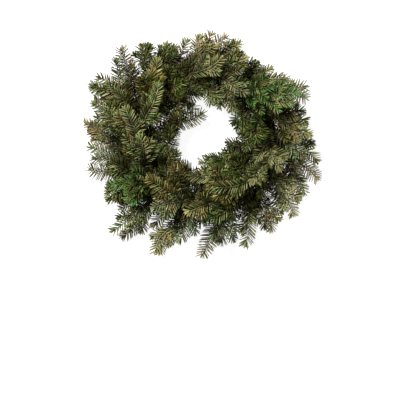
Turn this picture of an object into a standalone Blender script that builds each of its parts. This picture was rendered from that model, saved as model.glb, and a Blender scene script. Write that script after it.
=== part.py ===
"""Fir wreath, laid flat: a straw ring, and bunches of fir sprigs that one long wire binds onto it.

Metres, +Z up. The wreath lies on the ring's flat back at z = 0 with its foliage up. The origin
is under the middle of its box. Clock angles are degrees clockwise from the top, which is +Y, as
on a clock face seen from above, and every sprig sweeps clockwise.
"""

import math

import bmesh
import bpy
import numpy as np

# Straw ring. Its section is round, with a flat back, and has corners at these angles: 0 points
# away from the wreath's middle and 90 points up.
RING_CENTRE = np.array([0.0004, 0.0135, 0.0])
RING_RADIUS = 0.120
RING_THICKNESS = 0.024
RING_AXIS_HEIGHT = 0.0105
SECTION_ANGLES = (-30.0, 10.0, 50.0, 90.0, 130.0, 170.0, 210.0)
TURNS = 14
STEPS_PER_TURN = 3

# Binding wire. It lies in a groove where it crosses the ring's back.
WIRE_RADIUS = 0.0005
WIRE_SIDES = 3
GROOVE_WIDTH = 0.0044
GROOVE_DEPTH = 0.0028
GROOVE_REACH = 0.0132
WIRE_CROSSING_HEIGHT = 0.0009
WIRE_CROSSING_REACH = 0.0088

# Sprigs: bare stem under the wire, then a leafy stem with side shoots and needles.
GAP = 0.0004
CLEARANCE = 0.0003
FLOOR_CLEARANCE = 0.0010
STEM_RADIUS = 0.0015
SHOOT_RADIUS = 0.0014
STEM_SIDES = 4
BOUND_LENGTH = 0.016
LEAFY_FROM = 0.22
STEM_PIECES = 5
STEM_FULLNESS = 0.38
LEAVING_RISE = 0.16
ARRIVING_RISE = 0.10
LIFT_STEP = 0.004
LIFT_TRIES = 16
RISE_PER_LIFT = 6.0
SHOOT_ROLLS = (8, 24, -12, 40, 56, 72, 90)
SHOOT_BEND = 0.7
SEED = 11

# Needles. They lean forward by an angle between two limits, and the one that ends a stem by less.
# Their ranks are angles round the stem: first the middles of its four sides, then its corners.
NEEDLE_LENGTH = 0.017
NEEDLE_RADIUS = 0.0009
NEEDLE_SIDES = 3
NEEDLE_PITCH = 0.0102
NEEDLE_LEAN = (46.0, 60.0)
TIP_NEEDLE_LEAN = (2.0, 8.0)
NEEDLE_SWAY = 5.0
NEEDLE_RANKS = (45.0, 225.0, 135.0, 315.0, 0.0, 180.0, 90.0, 270.0)
NEEDLE_SECTION_TURN = 17.0
NEEDLE_SECTION_UP = (0.31, 0.17, 0.93)
SHOOT_BARE_LENGTH = 0.0068
UP = np.array([0.0, 0.0, 1.0])
PARALLEL_LIMIT = 1e-18

# Where each row of sprigs is bound on the ring: the angle round the section, and how far, in
# clock degrees, the slanting wire has got from its turn's middle there.
ROWS = {
    "outer_low": (10.0, -4.0),
    "outer_high": (50.0, -1.5),
    "inner": (170.0, 5.0),
    "top": (90.0, 1.0),
}
WIRE_SLANT = {-30.0: -8.0, 10.0: -4.0, 50.0: -1.5, 90.0: 1.0, 130.0: 3.0, 170.0: 5.0, 210.0: 9.0}

# Side shoots of each kind of sprig: share of the stem's length, side, length, angle in degrees.
KINDS = {
    "fan": ((0.34, 1, 0.042, 44), (0.50, -1, 0.038, 42), (0.66, 1, 0.028, 40)),
    "plume": ((0.42, -1, 0.032, 40), (0.60, 1, 0.026, 38)),
    "twig": ((0.56, 1, 0.022, 42),),
    "tuft": ((0.66, 1, 0.024, 46), (0.76, -1, 0.020, 46)),
}

# Turn of the wire, clock angle, reach and height of the tip, clock direction it points in, kind,
# colour. Reach is from the ring's axis to the stem's tip.
SPRIGS = {
    "outer_low": (
        (0, 41, 0.168, 0.026, 88, "tuft", "olive"),
        (1, 68, 0.206, 0.020, 128, "twig", "olive"),
        (2, 80, 0.194, 0.016, 110, "fan", "olive"),
        (3, 109, 0.226, 0.018, 133, "twig", "brown"),
        (4, 120, 0.208, 0.014, 160, "plume", "olive"),
        (5, 143, 0.212, 0.016, 186, "fan", "golden"),
        (6, 180, 0.218, 0.018, 208, "twig", "brown"),
        (7, 201, 0.227, 0.014, 185, "fan", "olive"),
        (8, 219, 0.237, 0.014, 238, "plume", "brown"),
        (9, 254, 0.219, 0.018, 285, "twig", "brown"),
        (10, 276, 0.209, 0.018, 328, "tuft", "brown"),
        (11, 317, 0.224, 0.024, 352, "twig", "brown"),
        (12, 341, 0.178, 0.016, 12, "fan", "bluish"),
        (13, 18, 0.184, 0.020, 62, "plume", "olive"),
    ),
    "outer_high": (
        (0, 27, 0.164, 0.042, 72, "tuft", "golden"),
        (1, 55, 0.188, 0.040, 104, "plume", "olive"),
        (2, 88, 0.196, 0.038, 104, "fan", "golden"),
        (3, 100, 0.190, 0.042, 138, "plume", "bluish"),
        (4, 130, 0.219, 0.038, 172, "fan", "olive"),
        (5, 158, 0.212, 0.038, 204, "plume", "olive"),
        (6, 170, 0.196, 0.036, 216, "fan", "bluish"),
        (7, 193, 0.194, 0.038, 222, "plume", "bluish"),
        (8, 224, 0.240, 0.036, 242, "fan", "olive"),
        (9, 240, 0.202, 0.042, 272, "tuft", "olive"),
        (10, 287, 0.210, 0.042, 312, "fan", "olive"),
        (11, 295, 0.227, 0.038, 292, "plume", "bluish"),
        (12, 328, 0.198, 0.044, 34, "tuft", "olive"),
        (13, 4, 0.191, 0.040, 24, "fan", "golden"),
    ),
    "inner": (
        (0, 48, 0.080, 0.034, 132, "plume", "olive"),
        (1, 76, 0.078, 0.038, 160, "tuft", "emerald"),
        (2, 102, 0.084, 0.034, 186, "plume", "olive"),
        (3, 183, 0.048, 0.032, 262, "twig", "olive"),
        (4, 146, 0.080, 0.040, 222, "plume", "olive"),
        (5, 170, 0.080, 0.036, 254, "fan", "golden"),
        (6, 238, 0.072, 0.030, 318, "twig", "brown"),
        (7, 222, 0.082, 0.042, 300, "plume", "golden"),
        (8, 254, 0.080, 0.036, 332, "fan", "olive"),
        (9, 340, 0.062, 0.038, 42, "twig", "olive"),
        (10, 354, 0.044, 0.024, 56, "twig", "brown"),
        (11, 330, 0.082, 0.040, 40, "plume", "golden"),
        (12, 356, 0.082, 0.034, 70, "plume", "olive"),
        (13, 22, 0.084, 0.036, 100, "tuft", "olive"),
    ),
    "top": (
        (0, 42, 0.112, 0.068, 116, "fan", "bluish"),
        (1, 68, 0.172, 0.066, 92, "fan", "emerald"),
        (2, 92, 0.100, 0.070, 160, "tuft", "emerald"),
        (3, 112, 0.150, 0.068, 146, "fan", "olive"),
        (4, 130, 0.122, 0.084, 196, "tuft", "olive"),
        (5, 166, 0.112, 0.068, 246, "fan", "golden"),
        (6, 190, 0.140, 0.070, 246, "plume", "golden"),
        (7, 214, 0.158, 0.064, 250, "fan", "bluish"),
        (8, 236, 0.164, 0.064, 262, "tuft", "emerald"),
        (9, 268, 0.116, 0.070, 338, "fan", "olive"),
        (10, 284, 0.162, 0.068, 318, "plume", "olive"),
        (11, 321, 0.152, 0.070, 2, "fan", "golden"),
        (12, 340, 0.108, 0.068, 54, "fan", "olive"),
        (13, 12, 0.146, 0.064, 46, "plume", "olive"),
    ),
}

# Base colour and roughness of each finish.
FINISHES = {
    "olive": ((0.085, 0.110, 0.040), 0.62),
    "golden": ((0.190, 0.180, 0.055), 0.62),
    "emerald": ((0.020, 0.130, 0.030), 0.58),
    "bluish": ((0.060, 0.110, 0.085), 0.62),
    "brown": ((0.150, 0.095, 0.045), 0.70),
    "straw": ((0.420, 0.310, 0.150), 0.85),
    "wire": ((0.030, 0.060, 0.030), 0.45),
}
WIRE_METALLIC = 0.8


def clock_point(clock, reach, height):
    """The point at a clock angle and a reach from the ring's axis."""
    turn = math.radians(clock)
    return RING_CENTRE + np.array([reach * math.sin(turn), reach * math.cos(turn), height])


def clock_direction(clock):
    """The level direction towards a clock angle."""
    turn = math.radians(clock)
    return np.array([math.sin(turn), math.cos(turn), 0.0])


def section_point(clock, angle, distance):
    """The point at an angle round the ring's section, that far from the middle of its section."""
    turn = math.radians(angle)
    reach = RING_RADIUS + distance * math.cos(turn)
    return clock_point(clock, reach, RING_AXIS_HEIGHT + distance * math.sin(turn))


def unit(vector):
    """The vector at length 1."""
    return vector / np.linalg.norm(vector)


def turn_clock(turn):
    """The clock angle of the middle of a turn of the wire."""
    return 360.0 * turn / TURNS


def wire_points():
    """The corners of the wire: up the ring's outer side, over the stems, and back under the ring."""
    over_stems = RING_THICKNESS / 2 + 2 * GAP + 2 * STEM_RADIUS + WIRE_RADIUS
    beside_ring = RING_THICKNESS / 2 + 3 * GAP + WIRE_RADIUS
    half_turn = turn_clock(0.5)
    points = []
    for turn in range(TURNS):
        for angle, slant in WIRE_SLANT.items():
            distance = over_stems if 0 < angle < 180 else beside_ring
            points.append(section_point(turn_clock(turn) + slant, angle, distance))
        for reach in (-WIRE_CROSSING_REACH, WIRE_CROSSING_REACH):
            clock = turn_clock(turn) + half_turn
            points.append(clock_point(clock, RING_RADIUS + reach, WIRE_CROSSING_HEIGHT))
    return np.array(points)


def ring_axis_points():
    """Points along the middle of the ring's section, all the way round."""
    steps = TURNS * STEPS_PER_TURN
    return np.array(
        [clock_point(360.0 * i / steps, RING_RADIUS, RING_AXIS_HEIGHT) for i in range(steps + 1)]
    )


class Pieces:
    """Straight round pieces, each with its owner, that others have to keep clear of."""

    def __init__(self):
        self.starts = np.empty((0, 3))
        self.ends = np.empty((0, 3))
        self.radii = np.empty(0)
        self.owners = np.empty(0, dtype="U32")

    def add(self, points, radius, owner):
        """Adds the straight pieces of a path."""
        self.starts = np.vstack([self.starts, points[:-1]])
        self.ends = np.vstack([self.ends, points[1:]])
        self.radii = np.append(self.radii, np.full(len(points) - 1, radius))
        self.owners = np.append(self.owners, np.full(len(points) - 1, owner))

    def gap_to(self, start, end, owner):
        """The least gap between one straight line and every piece of another owner.

        The nearest points of two lines are found from their dot products, held to the lines' ends.
        """
        others = self.owners != owner
        starts = self.starts[others]
        along = end - start
        each = self.ends[others] - starts
        apart = start - starts
        a = along @ along
        b = each @ along
        c = apart @ along
        e = np.einsum("ij,ij->i", each, each)
        f = np.einsum("ij,ij->i", each, apart)
        slack = np.maximum(a * e - b * b, PARALLEL_LIMIT)
        share = np.clip((b * f - c * e) / slack, 0, 1)
        other = np.clip((b * share + f) / e, 0, 1)
        share = np.clip((b * other - c) / a, 0, 1)
        between = apart + share[:, None] * along - other[:, None] * each
        return (np.linalg.norm(between, axis=1) - self.radii[others]).min()

    def clears(self, points, radius, owner):
        """Whether a path keeps the clearance to the pieces of other owners and to the floor."""
        if points[:, 2].min() < radius + FLOOR_CLEARANCE:
            return False
        ends = zip(points[:-1], points[1:])
        return all(self.gap_to(start, end, owner) > radius + CLEARANCE for start, end in ends)


class Sprig:
    """One sprig: the route of its stem, and of each side shoot."""

    def __init__(self, row, number, turn, clock, reach, height, heading, kind, colour):
        self.name = f"{row}_sprig_{number + 1:02d}"
        self.row = row
        self.turn = turn
        self.tip = (clock, reach, height)
        self.heading = heading
        self.kind = kind
        self.colour = colour
        self.mirror = 1 if number % 2 else -1
        self.stem = None
        self.shoots = []

    def bound_points(self):
        """The stem's stretch under the wire, which follows the ring."""
        angle, slant = ROWS[self.row]
        distance = RING_THICKNESS / 2 + GAP + STEM_RADIUS
        middle = turn_clock(self.turn) + slant
        half = math.degrees(BOUND_LENGTH / 2 / RING_RADIUS)
        return [section_point(middle + side * half, angle, distance) for side in (-1, 1)]

    def route(self, lift):
        """The stem's points: a Bezier curve from the wire to the tip, which lift raises."""
        first, start = self.bound_points()
        clock, reach, height = self.tip
        tip = clock_point(clock, reach, height + lift)
        length = np.linalg.norm(tip - start)
        leaving = unit(unit(start - first) + UP * (LEAVING_RISE + RISE_PER_LIFT * lift))
        arriving = unit(clock_direction(self.heading) + UP * ARRIVING_RISE)
        before = start + leaving * length * STEM_FULLNESS
        after = tip - arriving * length * STEM_FULLNESS
        share = np.linspace(0, 1, STEM_PIECES + 1)[:, None]
        rest = 1 - share
        curve = (
            rest**3 * start
            + 3 * rest**2 * share * before
            + 3 * rest * share**2 * after
            + share**3 * tip
        )
        return np.vstack([first, curve])

    def bend_clear(self, placed):
        """Raises the tip by steps until the stem clears what is placed."""
        for step in range(LIFT_TRIES):
            points = self.route(step * LIFT_STEP)
            if placed.clears(points[1:], STEM_RADIUS, self.name):
                break
        self.stem = points
        placed.add(points, STEM_RADIUS, self.name)

    def along(self, share):
        """The point and direction at a share of the leafy stem."""
        points = self.stem[1:]
        place = share * (len(points) - 1)
        index = min(int(place), len(points) - 2)
        step = points[index + 1] - points[index]
        return points[index] + (place - index) * step, unit(step)

    def add_shoots(self, placed):
        """Sets the side shoots, each turned round the stem until it clears what is placed."""
        for share, side, length, angle in KINDS[self.kind]:
            start, ahead = self.along(share)
            across = unit(np.cross(ahead, UP)) * side * self.mirror
            over = np.cross(across, ahead)
            over = over if over[2] > 0 else -over
            for roll in SHOOT_ROLLS:
                turn = math.radians(roll)
                out = across * math.cos(turn) + over * math.sin(turn)
                points = self.shoot_points(start, ahead, out, length, angle)
                if placed.clears(points, SHOOT_RADIUS, self.name):
                    self.shoots.append(points)
                    placed.add(points, SHOOT_RADIUS, self.name)
                    break

    @staticmethod
    def shoot_points(start, ahead, out, length, angle):
        """A shoot leaves the stem at the angle and bends a little towards the stem's direction."""
        turn = math.radians(angle)
        first = ahead * math.cos(turn) + out * math.sin(turn)
        bend = ahead * math.cos(turn * SHOOT_BEND) + out * math.sin(turn * SHOOT_BEND)
        middle = start + first * length / 2
        return np.array([start, middle, middle + bend * length / 2])


def lay_sprigs():
    """All the sprigs with their stems and shoots, row by row from the ring up."""
    placed = Pieces()
    placed.add(ring_axis_points(), RING_THICKNESS / 2, "straw_ring")
    placed.add(wire_points(), WIRE_RADIUS, "binding_wire")
    sprigs = []
    for row, entries in SPRIGS.items():
        sprigs += [Sprig(row, number, *entry) for number, entry in enumerate(entries)]
    for sprig in sprigs:
        sprig.bend_clear(placed)
    for sprig in sprigs:
        sprig.add_shoots(placed)
    return sprigs, placed


def needle_spots(points, bare, draw):
    """Where the needles of one stem start: root, stem's direction, rank and lean.

    They stand at even steps, in turn on each of the stem's four sides, and one points on from the tip.
    """
    steps = np.linalg.norm(np.diff(points, axis=0), axis=1)
    marks = np.append(0, np.cumsum(steps))
    tip = marks[-1] - STEM_RADIUS
    count = max(2, round((tip - bare) / NEEDLE_PITCH))
    first = int(draw.integers(STEM_SIDES))
    even = np.linspace(bare, tip - NEEDLE_PITCH / 2, count)
    spots = [(spot, first + i, NEEDLE_LEAN) for i, spot in enumerate(even)]
    spots.append((tip, first, TIP_NEEDLE_LEAN))
    for spot, rank, lean in spots:
        index = min(np.searchsorted(marks, spot, "right") - 1, len(steps) - 1)
        ahead = (points[index + 1] - points[index]) / steps[index]
        root = points[index] + ahead * (spot - marks[index])
        yield root, ahead, rank, math.radians(draw.uniform(*lean))


def ranks_from(rank):
    """The ranks in the order they are tried: the side ranks from this one on, then the corners."""
    sides = np.roll(NEEDLE_RANKS[:STEM_SIDES], -rank)
    corners = np.roll(NEEDLE_RANKS[STEM_SIDES:], -rank)
    return [*sides, *corners]


def needle_lines(sprig, placed, draw):
    """The needles of a sprig, as their roots and tips.

    Each needle is turned round its stem until it clears what is placed, or is left out.
    """
    lines = []
    stem = sprig.stem[1:]
    bare = LEAFY_FROM * np.linalg.norm(np.diff(stem, axis=0), axis=1).sum()
    leafy = [(stem, bare)] + [(shoot, SHOOT_BARE_LENGTH) for shoot in sprig.shoots]
    for points, free in leafy:
        for root, ahead, rank, lean in needle_spots(points, free, draw):
            across = unit(np.cross(ahead, UP))
            over = np.cross(across, ahead)
            for angle in ranks_from(rank):
                round_stem = math.radians(angle + draw.uniform(-NEEDLE_SWAY, NEEDLE_SWAY))
                out = across * math.cos(round_stem) + over * math.sin(round_stem)
                line = unit(ahead * math.cos(lean) + out * math.sin(lean))
                seen = np.array([root + line * 2 * STEM_RADIUS, root + line * NEEDLE_LENGTH])
                if placed.clears(seen, NEEDLE_RADIUS, sprig.name):
                    placed.add(seen, NEEDLE_RADIUS, sprig.name + " needle")
                    lines.append((root, seen[1]))
                    break
    return lines


def tube_mesh(name, points, radius, sides):
    """A closed tube: a regular section carried along the points and mitred at each bend.

    Each corner runs along its piece's direction until it meets the plane that halves the bend, so
    every face is flat.
    """
    steps = np.diff(points, axis=0)
    steps /= np.linalg.norm(steps, axis=1)[:, None]
    bends = np.vstack([steps[:1], steps[:-1] + steps[1:], steps[-1:]])
    across = unit(np.cross(steps[0], UP))
    over = np.cross(across, steps[0])
    turns = np.arange(sides)[:, None] * 2 * math.pi / sides
    section = points[0] + radius * (across * np.cos(turns) + over * np.sin(turns))
    corners = [section]
    for point, step, bend in zip(points[1:], steps, bends[1:]):
        section = section + step * ((point - section) @ bend / (step @ bend))[:, None]
        corners.append(section)
    faces = [tuple(range(sides))[::-1]]
    for i in range(len(points) - 1):
        for j in range(sides):
            k = (j + 1) % sides
            faces.append((i * sides + j, i * sides + k, (i + 1) * sides + k, (i + 1) * sides + j))
    faces.append(tuple((len(points) - 1) * sides + j for j in range(sides)))
    return closed_mesh(name, np.vstack(corners), faces)


def closed_mesh(name, corners, faces):
    """A mesh of these faces, which all point out."""
    mesh = bpy.data.meshes.new(name)
    mesh.from_pydata([tuple(corner) for corner in corners], [], faces)
    shape = bmesh.new()
    shape.from_mesh(mesh)
    bmesh.ops.recalc_face_normals(shape, faces=shape.faces)
    shape.to_mesh(mesh)
    shape.free()
    return mesh


def needle_mesh(name, root, tip):
    """A three-sided needle, widest at its sunk root."""
    line = unit(tip - root)
    across = unit(np.cross(line, NEEDLE_SECTION_UP))
    over = np.cross(line, across)
    turns = [math.radians(360 * i / NEEDLE_SIDES + NEEDLE_SECTION_TURN) for i in range(NEEDLE_SIDES)]
    corners = [root + (across * math.cos(a) + over * math.sin(a)) * NEEDLE_RADIUS for a in turns]
    return closed_mesh(name, corners + [tip], [(0, 1, 2), (0, 3, 1), (1, 3, 2), (2, 3, 0)])


def finish_material(name):
    """The material of a finish."""
    colour, roughness = FINISHES[name]
    material = bpy.data.materials.get(name) or bpy.data.materials.new(name)
    material.use_nodes = True
    shader = material.node_tree.nodes["Principled BSDF"]
    shader.inputs["Base Color"].default_value = (*colour, 1.0)
    shader.inputs["Roughness"].default_value = roughness
    shader.inputs["Metallic"].default_value = WIRE_METALLIC if name == "wire" else 0.0
    return material


def link_object(name, mesh, collection=None):
    """An object of the mesh, in the scene or in a collection."""
    thing = bpy.data.objects.new(name, mesh)
    (collection or bpy.context.scene.collection).objects.link(thing)
    return thing


def apply_modifiers(thing):
    """Makes the evaluated mesh the object's own."""
    graph = bpy.context.evaluated_depsgraph_get()
    mesh = bpy.data.meshes.new_from_object(thing.evaluated_get(graph))
    thing.modifiers.clear()
    thing.data = mesh


def keep_outer_shell(mesh):
    """Keeps the shell with the most faces: a pocket sealed between needles is filled."""
    shape = bmesh.new()
    shape.from_mesh(mesh)
    left = set(shape.faces)
    shells = []
    while left:
        shell = {left.pop()}
        edge_of_shell = list(shell)
        while edge_of_shell:
            face = edge_of_shell.pop()
            near = {other for edge in face.edges for other in edge.link_faces} - shell
            shell |= near
            edge_of_shell += near
        left -= shell
        shells.append(shell)
    largest = max(shells, key=len)
    bmesh.ops.delete(shape, geom=[face for face in shape.faces if face not in largest], context="FACES")
    shape.to_mesh(mesh)
    shape.free()


def build_ring():
    """The straw ring: its section spun round the wreath's axis, with a groove for each crossing."""
    half_flat = math.sqrt((RING_THICKNESS / 2) ** 2 - RING_AXIS_HEIGHT**2)
    section = [section_point(0.0, angle, RING_THICKNESS / 2) for angle in SECTION_ANGLES]
    section += [clock_point(0.0, RING_RADIUS + side * half_flat, 0.0) for side in (-1, 1)]
    shape = bmesh.new()
    corners = [shape.verts.new(point) for point in section]
    edges = [shape.edges.new((a, b)) for a, b in zip(corners, corners[1:] + corners[:1])]
    bmesh.ops.spin(
        shape,
        geom=corners + edges,
        cent=RING_CENTRE,
        axis=(0, 0, 1),
        angle=2 * math.pi,
        steps=TURNS * STEPS_PER_TURN,
        use_merge=True,
    )
    bmesh.ops.remove_doubles(shape, verts=shape.verts, dist=1e-6)
    bmesh.ops.recalc_face_normals(shape, faces=shape.faces)
    mesh = bpy.data.meshes.new("straw_ring")
    shape.to_mesh(mesh)
    shape.free()
    ring = link_object("straw_ring", mesh)
    ring.data.materials.append(finish_material("straw"))

    cutter = link_object("groove_cutter", groove_mesh())
    cutter.hide_render = True
    cutter.display_type = "WIRE"
    cut = ring.modifiers.new("grooves", "BOOLEAN")
    cut.operation = "DIFFERENCE"
    cut.object = cutter
    return ring


def groove_mesh():
    """One three-sided bar for each place where the wire crosses the ring's back."""
    corners = []
    faces = []
    for turn in range(TURNS):
        clock = turn_clock(turn + 0.5)
        along = clock_direction(clock + 90)
        first = len(corners)
        for end in (-1, 1):
            reach = RING_RADIUS + end * GROOVE_REACH
            corners.append(clock_point(clock, reach, GROOVE_DEPTH))
            corners += [
                clock_point(clock, reach, -GROOVE_DEPTH) + along * side * GROOVE_WIDTH
                for side in (-1, 1)
            ]
        sides = ((0, 1, 2), (3, 4, 5), (0, 1, 4, 3), (1, 2, 5, 4), (2, 0, 3, 5))
        faces += [tuple(first + corner for corner in side) for side in sides]
    return closed_mesh("grooves", corners, faces)


def build_wire():
    """The binding wire, one length from the first turn to the last."""
    points = wire_points()
    mesh = tube_mesh("binding_wire", points, WIRE_RADIUS, WIRE_SIDES)
    wire = link_object("binding_wire", mesh)
    wire.data.materials.append(finish_material("wire"))
    return wire


def build_sprig(sprig, lines):
    """One sprig: its stem, with its shoots and needles joined to it as one solid."""
    stem = link_object(sprig.name, tube_mesh(sprig.name, sprig.stem, STEM_RADIUS, STEM_SIDES))
    joined = bpy.data.collections.new("joined")
    bpy.context.scene.collection.children.link(joined)
    for points in sprig.shoots:
        link_object("shoot", tube_mesh("shoot", points, SHOOT_RADIUS, STEM_SIDES), joined)
    for root, tip in lines:
        link_object("needle", needle_mesh("needle", root, tip), joined)
    join = stem.modifiers.new("join", "BOOLEAN")
    join.operation = "UNION"
    join.operand_type = "COLLECTION"
    join.collection = joined
    apply_modifiers(stem)
    keep_outer_shell(stem.data)
    for thing in list(joined.objects):
        bpy.data.objects.remove(thing)
    bpy.data.collections.remove(joined)
    stem.data.materials.clear()
    stem.data.materials.append(finish_material(sprig.colour))
    return stem


def main():
    """Clears the scene and builds the wreath."""
    for thing in list(bpy.data.objects):
        bpy.data.objects.remove(thing)
    build_ring()
    build_wire()
    draw = np.random.default_rng(SEED)
    sprigs, placed = lay_sprigs()
    for sprig in sprigs:
        build_sprig(sprig, needle_lines(sprig, placed, draw))


main()
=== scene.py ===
"""The looks of the preserved fir wreath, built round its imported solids.

Metres, +Z up, in the frame of the solids. The wreath lies on its flat back at z = 0, foliage up.
Clock angles are degrees clockwise from the top, which is +Y, as on a clock face seen from above.
Every sprig that stands for a solid takes the solid's own route: the same stretch under the wire,
the same curve to its tip and the same side shoots. Its needles, buds and bark are the finer ones
of real fir. Finer sprigs, which stand for no solid, fill the gaps and fray the edges.
"""

import logging
import math
from collections.abc import Iterator, Sequence
from dataclasses import astuple, dataclass, field
from enum import Enum

import bpy
import numpy as np
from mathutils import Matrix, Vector
from numpy.typing import NDArray


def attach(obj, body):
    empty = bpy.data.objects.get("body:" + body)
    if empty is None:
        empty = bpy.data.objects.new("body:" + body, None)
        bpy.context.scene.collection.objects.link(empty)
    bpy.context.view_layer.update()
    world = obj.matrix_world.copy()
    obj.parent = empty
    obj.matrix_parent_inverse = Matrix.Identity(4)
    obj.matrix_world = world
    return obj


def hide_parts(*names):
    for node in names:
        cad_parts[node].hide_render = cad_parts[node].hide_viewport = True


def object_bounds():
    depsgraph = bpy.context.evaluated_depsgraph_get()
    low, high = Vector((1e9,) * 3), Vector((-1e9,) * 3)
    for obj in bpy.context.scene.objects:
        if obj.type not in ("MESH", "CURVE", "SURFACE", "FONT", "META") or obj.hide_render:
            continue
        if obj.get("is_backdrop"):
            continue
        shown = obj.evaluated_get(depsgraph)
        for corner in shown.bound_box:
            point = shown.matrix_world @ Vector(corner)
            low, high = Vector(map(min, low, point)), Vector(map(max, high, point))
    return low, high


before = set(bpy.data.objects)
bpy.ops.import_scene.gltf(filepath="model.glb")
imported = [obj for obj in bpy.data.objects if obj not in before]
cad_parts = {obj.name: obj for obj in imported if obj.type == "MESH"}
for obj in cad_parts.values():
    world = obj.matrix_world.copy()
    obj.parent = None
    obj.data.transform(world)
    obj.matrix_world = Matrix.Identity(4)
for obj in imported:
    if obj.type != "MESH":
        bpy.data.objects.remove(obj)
cad_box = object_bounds()

Array = NDArray[np.float64]
Faces = NDArray[np.int64]
Number = Array | float
Colour = tuple[float, float, float]
Span = tuple[float, float]
Socket = bpy.types.NodeSocket
Material = bpy.types.Material
Draw = np.random.Generator

log = logging.getLogger("wreath")

BODY = "root"
UP = np.array([0.0, 0.0, 1.0])
GOLDEN_ANGLE = 137.5
WHITE = (1.0, 1.0, 1.0)
SEED = 31


class Tint(Enum):
    """The colours that the fir has in this wreath."""

    OLIVE = "olive"
    GOLDEN = "golden"
    EMERALD = "emerald"
    BLUISH = "bluish"
    BROWN = "brown"


class Growth(Enum):
    """The ways in which a sprig is branched and clothed."""

    FAN = "fan"
    PLUME = "plume"
    TWIG = "twig"
    TUFT = "tuft"


OLIVE, GOLDEN, EMERALD, BLUISH, BROWN = Tint
FAN, PLUME, TWIG, TUFT = Growth


def unit(vectors: Array) -> Array:
    """The vectors at length 1: each is divided by the root of the sum of its squares."""
    return vectors / np.linalg.norm(vectors, axis=-1, keepdims=True)


def smooth_step(share: Array) -> Array:
    """Share squared times 3 less twice the share, after it is held between 0 and 1."""
    held = np.clip(share, 0.0, 1.0)
    return held**2 * (3.0 - 2.0 * held)


def cubic(controls: Sequence[Array], shares: Array) -> Array:
    """Points of a cubic curve with four controls.

    With r = 1 - s the point is r^3 a + 3 r^2 s b + 3 r s^2 c + s^3 d.

    Args:
        controls: The four control points a, b, c and d.
        shares: The share s of each point, from 0 to 1.

    Returns:
        One row for each share.
    """
    share = shares[:, None]
    rest = 1.0 - share
    first, second, third, last = controls
    return (
        rest**3 * first
        + 3.0 * rest**2 * share * second
        + 3.0 * rest * share**2 * third
        + share**3 * last
    )


def bent(start: Array, middle: Array, end: Array, shares: Array) -> Array:
    """Points of a curve through three points.

    With s the share, its terms are the three parabolas that are 1 at one of the points, where s
    is 0, a half and 1, and 0 at the other two.

    Args:
        start: The point where s is 0.
        middle: The point where s is a half.
        end: The point where s is 1.
        shares: The share s of each point.

    Returns:
        One row for each share.
    """
    share = shares[:, None]
    return (
        start * (1.0 - share) * (1.0 - 2.0 * share)
        + middle * 4.0 * share * (1.0 - share)
        + end * share * (2.0 * share - 1.0)
    )


def spaced(path: Array, marks: Array) -> tuple[Array, Array]:
    """Points and directions at distances along a path.

    Args:
        path: The path's points, one in each row.
        marks: Distances from the path's start.

    Returns:
        The points, found by straight interpolation between the path's points, and the unit
        directions, interpolated between the central differences of the path.
    """
    steps = np.linalg.norm(np.diff(path, axis=0), axis=1)
    along = np.append(0.0, np.cumsum(steps))
    ways = np.gradient(path, axis=0)
    points = np.stack([np.interp(marks, along, path[:, axis]) for axis in range(3)], axis=1)
    ahead = np.stack([np.interp(marks, along, ways[:, axis]) for axis in range(3)], axis=1)
    return points, unit(ahead)


def length_of(path: Array) -> float:
    """The sum of the lengths of a path's straight pieces."""
    return float(np.linalg.norm(np.diff(path, axis=0), axis=1).sum())


def directions(paths: Array) -> Array:
    """The unit direction at each point of many paths: the central difference along each."""
    return unit(np.gradient(paths, axis=-2))


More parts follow.
